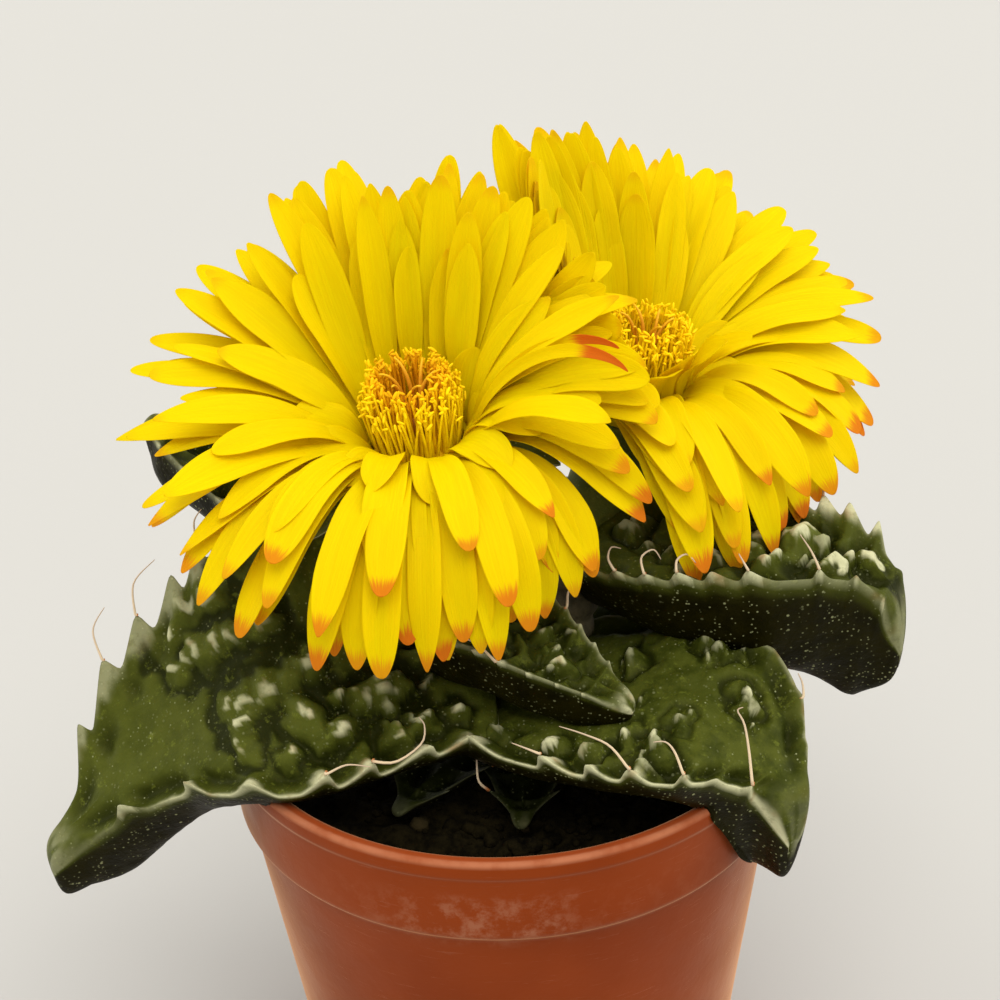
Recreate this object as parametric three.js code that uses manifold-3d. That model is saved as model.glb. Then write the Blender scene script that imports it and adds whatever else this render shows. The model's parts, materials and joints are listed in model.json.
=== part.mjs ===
// A potted tiger jaws: a small succulent with thick toothed leaves and two open yellow flowers, in a plastic pot.
// Millimetres, +Z up. The origin is the centre of the pot's flat base. +X is to the right, +Y away from the viewer.
import * as THREE from "three";
import { mergeVertices } from "three/addons/utils/BufferGeometryUtils.js";
import Module from "manifold-3d";

const wasm = await Module();
wasm.setup();

// Driving dimensions
const GAP = 0.35; // between pieces that touch on the real plant
const LEAF_GAP = 0.7; // from an upper leaf's plain outline to the leaves below it
const POT = {
  height: 50,
  rimRadius: 27.5,
  collarDrop: 9.3, // height of the collar below the rim
  collarRadius: 26.9,
  bodyRadius: 26.0, // just under the collar
  baseRadius: 20.3,
  wall: 1.1,
  lip: 2.1, // width of the rolled rim
  floor: 1.3,
  footBevel: 0.9,
  rimBead: 1.5, // height of the rim's rolled edge
  rimBevel: 0.5,
  shoulderStep: 0.4,
  drains: 5,
  drainRadius: 2.4,
  drainCircle: 13,
  sides: 36,
};
// The soil's top, its lumps' height, and how high and wide it rises round the trunk.
const SOIL = { top: 44.2, relief: 0.42, mound: 1.4, moundSpread: 11, edgeDrop: 0.6, sides: 28, rings: 4 };
// The woody base: a short trunk that forks under the two flowers. Each row is [x, y, z, radius].
const STEM = {
  trunk: [[0.4, 1, 35, 3.4], [0.4, 1, 44, 4.8], [0.8, 1.4, 51, 5.6], [1, 1.8, 55, 5]],
  branches: [
    [[0.2, 1, 48, 4.4], [-2.4, 0.4, 55, 4.6], [-3.8, 0.2, 60.6, 3.9]],
    [[1.2, 2, 48, 4.4], [4, 3.4, 55, 4.8], [6, 4.8, 62, 4]],
  ],
  sides: 10,
};

// Leaves, from the uppermost down. Each section is the middle of the upper face, [x, y, z], with the half width,
// the roll about the leaf's length in degrees and the depth of the keel below. warts are bumps on the upper face,
// each [share of the length, share of the half width]; without them, wartCount bumps are placed by draw. teeth are
// [share of the length, size on the right edge, size on the left edge], or a number of teeth for the rule, and
// toothWay is how far a tooth of each edge stands out, up and back.
const LEAVES = [
  {
    name: "leaf_right", seed: 3, wartCount: 7, drop: 0.8,
    teeth: [
      [0.09, 0.5, 0.6], [0.15, 0.6, 0], [0.205, 0.6, 0.8], [0.268, 0.8, 0], [0.333, 0.8, 0.8], [0.408, 0.8, 0.8],
      [0.5, 0, 0.8], [0.575, 0.7, 0.9], [0.633, 0, 0.9], [0.723, 0.5, 0.8], [0.86, 0.6, 0.5],
    ],
    toothWay: [[0.9, 1.3, 0.4], [1.7, 1.2, 0.6]],
    sections: [
      [9.5, 3.4, 65.2, 6, 6, 6],
      [16, 0, 66.4, 7.2, 5, 9],
      [24, -2.2, 66.9, 6.7, 4, 12],
      [31, -3.4, 66.4, 5, 4, 13.8],
      [35.4, -5, 64.8, 2.7, 4, 14.2],
      [37, -5.9, 63.2, 1.6, 4, 12.6],
    ],
  },
  {
    name: "leaf_front", seed: 4, drop: 0.5,
    warts: [[0.27, -0.23], [0.18, -0.39], [0.18, 0.55], [0.42, 0.2], [0.58, -0.2]],
    teeth: [
      [0.06, 0.6, 0.5], [0.13, 0.8, 0], [0.21, 0.85, 0.6], [0.315, 0.8, 0.6],
      [0.415, 0.8, 0.7], [0.53, 0.6, 0.6], [0.65, 0.5, 0.6], [0.775, 0.5, 0.6],
    ],
    toothWay: [[1.4, 0.9, 0.5], [1.3, 0.9, 0.5]],
    sections: [
      [-4.4, -4.2, 63.4, 5.4, 4, 7.6],
      [0.2, -8.2, 63.7, 5.4, 4, 7.4],
      [4.3, -11.3, 62.1, 4.4, 2, 6.8],
      [8, -13.5, 60.1, 2.8, 0, 5.4],
      [11, -14.9, 58.6, 1.5, 0, 3.2],
    ],
  },
  {
    name: "leaf_back", seed: 6, teeth: 4, wartCount: 3, drop: 0.3,
    sections: [
      [-2.8, 5.4, 62.5, 5.2, 0, 4],
      [-3.6, 12, 65, 6.2, 0, 4.6],
      [-4.4, 19, 68.4, 5, 0, 5.2],
      [-4.8, 24.4, 71.6, 1.4, 0, 4.2],
    ],
  },
  {
    name: "leaf_back_left", seed: 5, teeth: 5, wartCount: 4, drop: 0.4,
    sections: [
      [-7, 4.4, 62, 5.4, 6, 4.2],
      [-14.6, 9, 64.4, 6.8, 6, 4.6],
      [-23.6, 13.4, 67.6, 6.4, 6, 5],
      [-30.6, 16.4, 71.2, 3.8, 4, 5.8],
      [-33.6, 17.6, 73.4, 1.6, 0, 5],
    ],
  },
  {
    name: "leaf_back_right", seed: 7, teeth: 4, wartCount: 4, drop: 0.3,
    sections: [
      [9.4, 8.2, 62.6, 5.8, 0, 4.4],
      [15, 14, 64, 7.2, 0, 5],
      [21, 20, 66.6, 6, 0, 6.2],
      [26, 25, 70, 1.6, 0, 5],
    ],
  },
  {
    name: "leaf_left", seed: 1, drop: 0.7,
    warts: [
      [0.333, 0.42], [0.283, 0.59], [0.17, 0.73], [0.125, 0.66], [0.065, 0.6], [0.258, 0.32],
      [0.217, 0.39], [0.443, 0.34], [0.465, 0.16], [0.39, 0.14], [0.302, 0.05], [0.542, -0.51],
      [0.49, -0.48], [0.425, -0.4], [0.357, -0.37], [0.512, -0.85], [0.45, -0.78],
    ],
    teeth: [
      [0.065, 0, 0.7], [0.133, 0.5, 0.85], [0.24, 0.6, 0.85], [0.33, 0.7, 0.9], [0.39, 0.8, 0],
      [0.45, 1, 0.9], [0.511, 1.1, 0], [0.578, 1.1, 0.9], [0.642, 1, 0], [0.735, 0.8, 0.8],
    ],
    toothWay: [[2, 0.9, 1], [0.5, 1.9, 0.4]],
    sections: [
      [-2.6, -4.2, 57.4, 10.4, -22, 4.6],
      [-13, -6.7, 60, 12.5, -35, 5.4],
      [-23.4, -8.9, 59.3, 12.4, -39, 6.4],
      [-32.6, -8.2, 53.2, 7.6, -36, 8.4],
      [-40, -9.6, 45.9, 3.4, -22, 9.6],
      [-43.7, -10.7, 42.7, 1.7, -8, 7.8],
    ],
  },
  {
    name: "leaf_front_right", seed: 2, drop: 0.7,
    warts: [[0.22, -0.73], [0.37, -0.53], [0.432, -0.48], [0.585, 0.38], [0.642, 0.13], [0.478, -0.28]],
    teeth: [
      [0.103, 0.8, 0.3], [0.25, 0.9, 0.3], [0.35, 0.8, 0.3], [0.445, 0.85, 0.3],
      [0.578, 0.8, 0.35], [0.69, 0.5, 0.35], [0.805, 0.7, 0.3],
    ],
    toothWay: [[0.7, 1.7, 0.4], [0.9, 0.4, 0.3]],
    sections: [
      [0, -3.4, 53.8, 10.4, 4, 4.4],
      [7.6, -9, 56.2, 11.8, 8, 4.8],
      [14.4, -13, 57.8, 11.6, 12, 5.2],
      [20.6, -16.2, 56.3, 8.8, 12, 6.6],
      [23.9, -18.8, 51.9, 4, 8, 11.2],
      [25.1, -20.6, 48.6, 1.5, 10, 9.6],
    ],
  },
  {
    name: "leaf_low_right", seed: 9, teeth: 5, wartCount: 4, drop: 0.6,
    sections: [
      [8.4, 4, 55, 6.4, 0, 4.4],
      [16, 7.4, 56.6, 8.6, 0, 4.8],
      [24, 11, 57, 8, 0, 5.2],
      [31, 14, 53, 4.4, 0, 6],
      [34, 15.2, 49.6, 1.6, 0, 5],
    ],
  },
  {
    name: "leaf_low_back", seed: 8, teeth: 5, wartCount: 4, drop: 0.6,
    sections: [
      [-0.4, 7, 55, 7.4, 0, 4.4],
      [-1.4, 15, 57, 9.6, 0, 5],
      [-2.4, 24, 57.4, 8.6, 0, 5.4],
      [-3.2, 32, 53.4, 4.6, 0, 6.4],
      [-3.6, 36, 49, 1.6, 0, 5.4],
    ],
  },
  {
    name: "leaf_small_left", seed: 12, teeth: 3, wartCount: 0, drop: 0.3,
    sections: [
      [-1.6, -3.4, 48.4, 2.6, 0, 1.8],
      [-6, -9, 48.8, 3.6, 0, 2],
      [-10.4, -14.6, 47.6, 1.2, 0, 1.6],
    ],
  },
  {
    name: "leaf_small_front", seed: 13, teeth: 3, wartCount: 0, drop: 0.3,
    sections: [
      [1.2, -4, 48.2, 2.6, 0, 1.8],
      [1.4, -10.4, 48.4, 3.6, 0, 2],
      [0.8, -16.6, 47, 1.2, 0, 1.6],
    ],
  },
];
const LEAF_COLUMNS = [-1, -0.5, 0, 0.5, 1]; // across the upper face, in half widths
const LEAF_FLANK = [[0.9, 0.42], [0.5, 0.94], [-0.5, 0.94], [-0.9, 0.42]]; // shares of half width and depth
const LEAF_DISH = 0.8; // how far the middle of a leaf's upper face lies below its edges
const TOOTH = { from: 0.1, to: 0.9, way: [2.1, 1.2, 0.5], fullAt: 8, leastForBristle: 0.6 };
const BRISTLE = { radius: 0.32, shortest: 2.6, spread: 2.6 };
const WART = { height: 1.3, radius: 1.55, sunk: 0.4, sides: 4 };

// Flowers: heart is the middle of the ring that the petals grow from, lean is how far the axis tilts for each unit
// of height, and branch is the fork of the stem below. opening gives, for directions 45 degrees apart from +X
// through the back, the slope at a petal's root, the slope at its tip, and its length.
const BLOOMS = [
  {
    name: "front_bloom", heart: [-7, 2, 76], lean: [-0.06, -0.16], branch: 0, seed: 11, side: -1,
    opening: [
      [74, 6, 21.5], [80, 52, 23], [78, 64, 23], [64, 38, 24],
      [44, -16, 23], [42, -52, 23], [38, -82, 22.4], [50, -84, 20.5],
    ],
  },
  {
    name: "rear_bloom", heart: [14.4, 14.2, 74], lean: [0.1, -0.06], branch: 1, seed: 23, side: 1,
    opening: [
      [50, -42, 21.6], [60, 12, 23.5], [68, 52, 22.5], [78, 62, 25],
      [84, 68, 27], [72, 0, 21], [52, -62, 23.6], [52, -68, 20.6],
    ],
  },
];
const PETAL_ROWS = [
  { count: 20, phase: 0, rise: 0, fall: 0, length: 1, ring: 5.7, height: 0.5 },
  { count: 18, phase: 0.5, rise: 9, fall: 15, length: 0.95, ring: 5.3, height: 1.2 },
  { count: 13, phase: 0.2, rise: 17, fall: 32, length: 0.74, ring: 4.9, height: 1.9 },
];
const PETAL = { half: 2, thick: 0.9, roll: 10, steps: 24, bend: 1.7, stations: [0, 6, 13, 20, 24] };
// How far each petal strays from its row's rule: degrees, and shares of its length and width.
const STRAY = { turn: 9, drift: 22, roll: 22, rise: 10, fall: 20, length: 0.14, half: 0.24 };
const STEEPEST = { rise: 86, fall: 80 };
const PARTING = { share: 0.6, softness: 3 }; // the upright plane that keeps the two flowers' petals apart
// The calyx: its radius at shares of the stalk's length, and a sepal's rows of [reach, height, half width, depth].
const CALYX = {
  levels: [[0, 2.6], [0.3, 2.7], [0.55, 3.6], [0.75, 5.2], [0.9, 5.9], [1, 5.7]],
  sides: 15,
  ribs: 0.05, // share of the radius
  sepal: [[3.8, -2.4, 2.6, 1.8], [7.2, -1.7, 2.7, 1.6], [10, -1.9, 1.9, 1.2]],
  sepalTip: [13, -3.2],
};
// The flower's heart, on its axis: the ring of the petals' roots, the stamens inside it, and the styles.
const HEART = { ringOuter: 6, ringInner: 4.4, ringHeight: 2.5, ringSides: 20 };
const STAMEN = {
  count: 18,
  outer: 3.85,
  inner: 2.1,
  base: 3.5,
  dome: 4.6,
  height: 6.4,
  spread: 1.9, // of the height
  flare: 0.5,
  thick: 0.5,
};
const STYLE = { count: 5, base: 3.5, dome: 4.8, bend: 6.4, height: 8.6, spread: 0.8, flare: 2.6, thick: 0.42 };

const GREEN = new THREE.MeshStandardMaterial({ color: 0x3d5a24, roughness: 0.5, metalness: 0 });
const CALYX_GREEN = new THREE.MeshStandardMaterial({ color: 0x55692c, roughness: 0.55, metalness: 0 });
const YELLOW = new THREE.MeshStandardMaterial({ color: 0xf2d100, roughness: 0.6, metalness: 0 });
const GOLD = new THREE.MeshStandardMaterial({ color: 0xe5a90c, roughness: 0.8, metalness: 0 });
const AMBER = new THREE.MeshStandardMaterial({ color: 0xd2790c, roughness: 0.8, metalness: 0 });
const TERRACOTTA = new THREE.MeshStandardMaterial({ color: 0xa04a28, roughness: 0.45, metalness: 0 });
const EARTH = new THREE.MeshStandardMaterial({ color: 0x1d150f, roughness: 0.95, metalness: 0 });
const BARK = new THREE.MeshStandardMaterial({ color: 0x5b5030, roughness: 0.8, metalness: 0 });

const V = (x, y, z) => new THREE.Vector3(x, y, z);
const rad = THREE.MathUtils.degToRad;
const GOLDEN_ANGLE = rad(137.5);

// A repeatable draw from 0 to 1 for item i of a seed.
function draw(seed, i) {
  const x = Math.sin(seed * 127.1 + i * 311.7) * 43758.5453;
  return x - Math.floor(x);
}

// A point at a radius, a turn and a height about +Z.
const round = (radius, turn, height) => V(radius * Math.cos(turn), radius * Math.sin(turn), height);

// Solids and the meshes made from them

// A closed solid from rings of as many points each, with flat ends, or with an end that is one point.
function loft(rings, point = null) {
  const size = rings[0].length;
  const points = rings.flat();
  const faces = [];
  for (let r = 0; r + 1 < rings.length; r++) {
    for (let i = 0; i < size; i++) {
      const a = r * size + i;
      const b = r * size + ((i + 1) % size);
      faces.push([a, b, b + size], [a, b + size, a + size]);
    }
  }
  for (let i = 1; i + 1 < size; i++) faces.push([0, i + 1, i]);
  const last = (rings.length - 1) * size;
  if (point) {
    points.push(point);
    for (let i = 0; i < size; i++) faces.push([last + i, last + ((i + 1) % size), points.length - 1]);
  } else {
    for (let i = 1; i + 1 < size; i++) faces.push([last, last + i, last + i + 1]);
  }
  let volume = 0;
  for (const [a, b, c] of faces) volume += points[a].dot(V(0, 0, 0).crossVectors(points[b], points[c]));
  if (volume < 0) faces.forEach((f) => f.reverse());
  return new wasm.Manifold(
    new wasm.Mesh({
      numProp: 3,
      vertProperties: new Float32Array(points.flatMap((p) => [p.x, p.y, p.z])),
      triVerts: new Uint32Array(faces.flat()),
    }),
  );
}

// A three.js geometry as a solid.
function solid(geometry) {
  const bare = geometry.clone();
  for (const name of Object.keys(bare.attributes)) if (name !== "position") bare.deleteAttribute(name);
  const merged = mergeVertices(bare, 1e-4);
  const vertProperties = merged.attributes.position.array;
  const triVerts = new Uint32Array(merged.index.array);
  return new wasm.Manifold(new wasm.Mesh({ numProp: 3, vertProperties, triVerts }));
}

// A solid turned about Z from an [r, z] profile that closes on itself or starts and ends on the axis.
function turned(profile, sides) {
  const geometry = new THREE.LatheGeometry(profile.map(([r, z]) => new THREE.Vector2(r, z)), sides);
  geometry.rotateX(Math.PI / 2);
  const made = solid(geometry);
  return made.volume() > 0 ? made : solid(geometry.scale(1, -1, 1));
}

const union = (solids) => solids.reduce((all, next) => all.add(next));

// The biggest body of a solid: fusing can leave a loose crumb, which is dropped.
function largest(made) {
  return made.decompose().reduce((a, b) => (a.volume() > b.volume() ? a : b));
}

function mesh(name, made, material) {
  const { vertProperties, triVerts, numProp } = largest(made).getMesh();
  const position = new Float32Array((vertProperties.length / numProp) * 3);
  for (let i = 0; i < position.length / 3; i++) {
    for (let k = 0; k < 3; k++) position[i * 3 + k] = vertProperties[i * numProp + k];
  }
  const geometry = new THREE.BufferGeometry();
  geometry.setAttribute("position", new THREE.BufferAttribute(position, 3));
  geometry.setIndex(new THREE.BufferAttribute(new Uint32Array(triVerts), 1));
  geometry.computeVertexNormals();
  const result = new THREE.Mesh(geometry, material);
  result.name = name;
  return result;
}

// Pot and soil

function potWallRadius(z) {
  const shoulder = POT.height - POT.collarDrop;
  return POT.baseRadius + ((POT.bodyRadius - POT.baseRadius) * z) / shoulder;
}

function pot() {
  const { height, rimRadius, rimBead, rimBevel, lip, collarRadius, baseRadius, footBevel, wall, floor } = POT;
  const shoulder = height - POT.collarDrop;
  const insideStep = shoulder + 3 * POT.shoulderStep;
  const profile = [
    [0, 0],
    [baseRadius - footBevel, 0],
    [baseRadius, footBevel],
    [potWallRadius(shoulder), shoulder],
    [collarRadius, shoulder + POT.shoulderStep],
    [rimRadius - rimBevel, height - rimBead - rimBevel],
    [rimRadius, height - rimBead],
    [rimRadius, height - rimBevel],
    [rimRadius - rimBevel, height],
    [rimRadius - lip + rimBevel, height],
    [rimRadius - lip, height - rimBevel],
    [collarRadius - wall, insideStep],
    [potWallRadius(shoulder) - wall, shoulder - rimBevel],
    [potWallRadius(floor) - wall, floor],
    [0, floor],
  ];
  const cylinder = new THREE.CylinderGeometry(POT.drainRadius, POT.drainRadius, floor * 3, 12);
  const drain = solid(cylinder.rotateX(Math.PI / 2));
  let body = turned(profile, POT.sides);
  for (let i = 0; i < POT.drains; i++) {
    const turn = ((i + 0.5) * 2 * Math.PI) / POT.drains;
    body = body.subtract(drain.translate(round(POT.drainCircle, turn, 0).toArray()));
  }
  return body;
}

// The space that the pot's collar and rim take up, a gap wider all round: leaves rest on it.
function rimEnvelope() {
  const outer = POT.rimRadius + GAP;
  const inner = POT.rimRadius - POT.lip - GAP;
  const low = POT.height - POT.collarDrop;
  const top = POT.height + GAP;
  const bevel = POT.rimBevel;
  const outside = [[inner, low], [outer, low], [outer, top - bevel], [outer - bevel, top]];
  return turned([...outside, [inner + bevel, top], [inner, top - bevel], [inner, low]], POT.sides);
}

// Height of the soil's surface, which is lumpy and rises a little towards the plant.
function soilHeight(x, y) {
  const lumps = Math.sin(0.9 * x + 1.3) * Math.cos(1.1 * y) + 0.6 * Math.sin(1.7 * y + 0.5 * x);
  const mound = Math.exp(-(x * x + y * y) / SOIL.moundSpread ** 2);
  return SOIL.top + SOIL.relief * lumps + SOIL.mound * mound;
}

// A level ring of points of the soil at a height, or one that follows its surface.
function soilRing(radius, height) {
  const points = [];
  for (let i = 0; i < SOIL.sides; i++) {
    const { x, y } = round(radius, (i * 2 * Math.PI) / SOIL.sides, 0);
    points.push(V(x, y, height ?? soilHeight(x, y)));
  }
  return points;
}

function soil(hole) {
  const neck = POT.height - POT.collarDrop - 1; // where the pot's inside starts to widen
  const clear = POT.wall + GAP;
  const edge = potWallRadius(neck) - clear;
  const rings = [
    soilRing(potWallRadius(POT.floor) - clear, POT.floor + GAP),
    soilRing(edge, neck),
    soilRing(edge, SOIL.top - SOIL.edgeDrop),
  ];
  for (let i = 1; i <= SOIL.rings; i++) {
    rings.push(soilRing(edge * (1 - i / (SOIL.rings + 1)) + SOIL.edgeDrop));
  }
  return loft(rings, V(0, 0, soilHeight(0, 0))).subtract(hole);
}

// A round tube through rows of [x, y, z, radius], wider by spare.
function tube(rows, spare) {
  const rings = rows.map(([x, y, z, radius]) => {
    const points = [];
    for (let i = 0; i < STEM.sides; i++) {
      const turn = (i * 2 * Math.PI) / STEM.sides;
      points.push(V(x + (radius + spare) * Math.cos(turn), y + (radius + spare) * Math.sin(turn), z));
    }
    return points;
  });
  for (const point of rings[0]) point.z -= spare;
  for (const point of rings[rings.length - 1]) point.z += spare;
  return loft(rings);
}

function stem(spare = 0) {
  return union([STEM.trunk, ...STEM.branches].map((rows) => tube(rows, spare)));
}

// Leaves

// A leaf's section at share s of its length, on a smooth curve through the leaf's own sections.
function leafSection(leaf, s) {
  const { sections } = leaf;
  const last = sections.length - 1;
  const place = THREE.MathUtils.clamp(s, 0, 1) * last;
  const i = Math.min(Math.floor(place), last - 1);
  const t = place - i;
  const row = (k) => sections[THREE.MathUtils.clamp(k, 0, last)];
  const [a, b, c, d] = [row(i - 1), row(i), row(i + 1), row(i + 2)];
  return b.map((value, k) => {
    const into = (c[k] - a[k]) / 2;
    const out = (d[k] - value) / 2;
    const rise = c[k] - value;
    return value + into * t + (3 * rise - 2 * into - out) * t * t + (into + out - 2 * rise) * t * t * t;
  });
}

// The middle of a leaf's upper face at share s, with the ways along, left and up, the half width and the depth.
function leafFrame(leaf, s) {
  const [x, y, z, half, roll, depth] = leafSection(leaf, s);
  const [x0, y0, z0] = leafSection(leaf, s - 0.02);
  const [x1, y1, z1] = leafSection(leaf, s + 0.02);
  const ahead = V(x1 - x0, y1 - y0, z1 - z0).normalize();
  const left = V(-ahead.y, ahead.x, 0).normalize().applyAxisAngle(ahead, rad(roll));
  const up = V(0, 0, 0).crossVectors(ahead, left);
  const down = up.clone().negate().lerp(V(0, 0, -1), leaf.drop * s).normalize();
  return { point: V(x, y, z), ahead, left, up, down, half, depth };
}

// A point of the upper face at share s along and v across, from -1 to 1.
function leafPoint(leaf, s, v) {
  const { point, left, up, half } = leafFrame(leaf, s);
  const dish = LEAF_DISH * (v * v - 1) * Math.sin(Math.PI * Math.min(1, s * 1.15));
  return point.addScaledVector(left, half * v).addScaledVector(up, dish);
}

// A ring of points round a leaf. teeth holds how far its right and left edges stand out; spare widens it all round.
function leafRing(leaf, s, teeth, spare) {
  const { point, ahead, left, up, down, half, depth } = leafFrame(leaf, s);
  const top = LEAF_COLUMNS.map((v) => {
    const size = v === -1 ? teeth[0] : v === 1 ? teeth[1] : 0;
    const place = leafPoint(leaf, s, v).addScaledVector(left, v * spare).addScaledVector(up, spare);
    const [reach, lift, lean] = leaf.toothWay?.[v > 0 ? 1 : 0] ?? TOOTH.way;
    place.addScaledVector(left, v * size * reach).addScaledVector(up, size * lift);
    return place.addScaledVector(ahead, -size * lean);
  });
  const flank = LEAF_FLANK.map(([v, d]) =>
    point.clone().addScaledVector(left, (half + spare) * v).addScaledVector(down, (depth + spare) * d),
  );
  return [...top, ...flank];
}

// The mean of some directions, each [vector, weight], at unit length.
function mix(...parts) {
  return parts.reduce((sum, [way, weight]) => sum.addScaledVector(way, weight), V(0, 0, 0)).normalize();
}

// A ring of points about a centre, in the plane of two directions.
function ringAbout(centre, first, second, radius, sides, start = 0) {
  const points = [];
  for (let k = 0; k < sides; k++) {
    const turn = start + (k * 2 * Math.PI) / sides;
    const point = centre.clone().addScaledVector(first, radius * Math.cos(turn));
    points.push(point.addScaledVector(second, radius * Math.sin(turn)));
  }
  return points;
}

// A tooth's soft bristle: a thin cone that curls back over the leaf, wider by spare.
function bristle(leaf, tooth, spare) {
  const { root, out, up, back, key } = tooth;
  const reach = BRISTLE.shortest + BRISTLE.spread * draw(leaf.seed, 400 + key);
  const lean = mix([out, 0.5], [up, 0.8], [back, 0.35]);
  const curl = mix([out, -0.1], [up, 0.7], [back, 0.7]);
  const side = V(0, 0, 0).crossVectors(lean, back).normalize();
  const start = root.clone().addScaledVector(out, -0.5).addScaledVector(up, -0.35);
  const elbow = root.clone().addScaledVector(lean, reach * 0.45);
  const tip = elbow.clone().addScaledVector(curl, reach * 0.55 + spare);
  const foot = ringAbout(start, back, side, BRISTLE.radius * 1.5 + 2 * spare, 3);
  return loft([foot, ringAbout(elbow, back, side, BRISTLE.radius + 2 * spare, 3)], tip);
}

// A blunt bump on the upper face at a place [s, v], wider by spare.
function wart(leaf, [s, v], key, spare) {
  const { ahead, left, up } = leafFrame(leaf, s);
  const size = 0.75 + 0.45 * draw(leaf.seed, 600 + key);
  const reach = WART.radius * size + 1.5 * spare;
  const foot = leafPoint(leaf, s, v).addScaledVector(up, -WART.sunk);
  const top = foot.clone().addScaledVector(up, WART.sunk + WART.height * size + 1.5 * spare);
  return loft([ringAbout(foot, ahead, left, reach, WART.sides, key)], top);
}

// Places for warts where the leaf lists none: two staggered lines with some drawn shift.
function wartPlaces(leaf) {
  if (leaf.warts) return leaf.warts;
  const places = [];
  for (let i = 0; i < leaf.wartCount; i++) {
    const s = 0.18 + (0.6 * (i + 0.5)) / leaf.wartCount;
    const side = i % 2 === 0 ? 1 : -1;
    places.push([s, side * (0.22 + 0.4 * draw(leaf.seed, 500 + i))]);
  }
  return places;
}

// The space that a leaf with its teeth takes up, wider by spare all round.
function leafEnvelope(leaf, spare) {
  const stations = [0, 0.2, 0.4, 0.6, 0.8, 0.94, 1];
  const rings = stations.map((s) => leafRing(leaf, s, s > 0.94 ? [0, 0] : [1, 1], spare));
  const start = leafFrame(leaf, 0).ahead.multiplyScalar(-spare);
  const end = leafFrame(leaf, 1).ahead.multiplyScalar(spare);
  rings[0].forEach((point) => point.add(start));
  rings.at(-1).forEach((point) => point.add(end));
  return loft(rings);
}

// Each tooth's place along the leaf, with its size on the right and on the left edge.
function toothPlaces(leaf) {
  if (Array.isArray(leaf.teeth)) return leaf.teeth;
  const places = [];
  for (let i = 0; i < leaf.teeth; i++) {
    const s = TOOTH.from + ((TOOTH.to - TOOTH.from) * (i + 0.5)) / leaf.teeth;
    const most = Math.min(1, 0.3 + leafSection(leaf, s)[3] / TOOTH.fullAt);
    places.push([s, ...[0, 1].map((k) => most * (0.7 + 0.35 * draw(leaf.seed, i * 7 + k)))]);
  }
  return places;
}

// Stations along a leaf: its teeth, with a plain one between two that have a tooth on the same edge.
function leafStations(leaf) {
  const stations = [[0, 0, 0], [TOOTH.from / 3, 0, 0]];
  toothPlaces(leaf).forEach((place, i, places) => {
    const [s, right, left] = place;
    const before = places[i - 1];
    if (before && (before[1] * right > 0 || before[2] * left > 0)) stations.push([(s + before[0]) / 2, 0, 0]);
    stations.push(place);
  });
  return [...stations, [(stations.at(-1)[0] + 1) / 2, 0, 0], [1, 0, 0]];
}

// A leaf's body with its toothed edges, and its teeth: each bristle's root, and the ways out, up and back there.
function leafBody(leaf) {
  const rings = leafStations(leaf).map(([s, ...sizes]) => leafRing(leaf, s, sizes, 0));
  const teeth = [];
  toothPlaces(leaf).forEach(([s, right, left], i) => {
    const frame = leafFrame(leaf, s);
    const ring = leafRing(leaf, s, [right, left], 0);
    const back = frame.ahead.clone().negate();
    const onLeft = i % 2 === 1;
    if ((onLeft ? left : right) < TOOTH.leastForBristle) return;
    const out = frame.left.clone().multiplyScalar(onLeft ? 1 : -1);
    teeth.push({ root: ring[onLeft ? 4 : 0], out, up: frame.up, back, key: onLeft ? i + 50 : i });
  });
  return { body: loft(rings), teeth };
}

// The bumps and bristles of a leaf that stand a gap clear of the solids around it.
function leafExtras(leaf, teeth, others) {
  const makers = [
    ...wartPlaces(leaf).map((place, i) => (spare) => wart(leaf, place, i, spare)),
    ...teeth.map((tooth) => (spare) => bristle(leaf, tooth, spare)),
  ];
  const clear = makers.filter((make) => others.every((other) => make(GAP).intersect(other).isEmpty()));
  return clear.map((make) => make(0));
}

// Flowers

// The plane between the flowers: a point on it, and its normal, from the first flower to the second.
function parting() {
  const first = V(...BLOOMS[0].heart);
  const between = V(...BLOOMS[1].heart).sub(first).setZ(0);
  return { point: first.addScaledVector(between, PARTING.share), normal: between.clone().normalize() };
}

function bloomAxis(bloom) {
  return V(bloom.lean[0], bloom.lean[1], 1).normalize();
}

// A point of the flower's own frame, whose Z is its axis, placed on the plant.
function placed(bloom, point) {
  const turn = new THREE.Quaternion().setFromUnitVectors(V(0, 0, 1), bloomAxis(bloom));
  return point.applyQuaternion(turn).add(V(...bloom.heart));
}

// Slope at the root, slope at the tip and length of a petal that points along turn, in degrees.
function openingAt(bloom, turn) {
  const place = (((turn % 360) + 360) % 360) / 45;
  const i = Math.floor(place);
  const blend = place - i;
  const here = bloom.opening[i % 8];
  const next = bloom.opening[(i + 1) % 8];
  return here.map((value, k) => value + (next[k] - value) * blend);
}

function petalSpec(bloom, row, index) {
  const rule = PETAL_ROWS[row];
  const key = row * 100 + index;
  const chance = (k) => draw(bloom.seed + k, key) - 0.5;
  const turn = ((index + rule.phase) * 360) / rule.count + chance(1) * STRAY.turn;
  const [rise, fall, length] = openingAt(bloom, turn);
  return {
    turn,
    drift: chance(2) * STRAY.drift,
    roll: PETAL.roll * Math.cos(rad(turn)) + chance(3) * STRAY.roll,
    rise: Math.min(STEEPEST.rise, rise + rule.rise + chance(4) * STRAY.rise),
    fall: Math.min(STEEPEST.fall, fall + rule.fall + chance(5) * STRAY.fall),
    length: length * rule.length * (1 + chance(6) * STRAY.length),
    half: PETAL.half * (0.94 + chance(7) * STRAY.half),
    ring: rule.ring,
    height: rule.height,
  };
}

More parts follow.
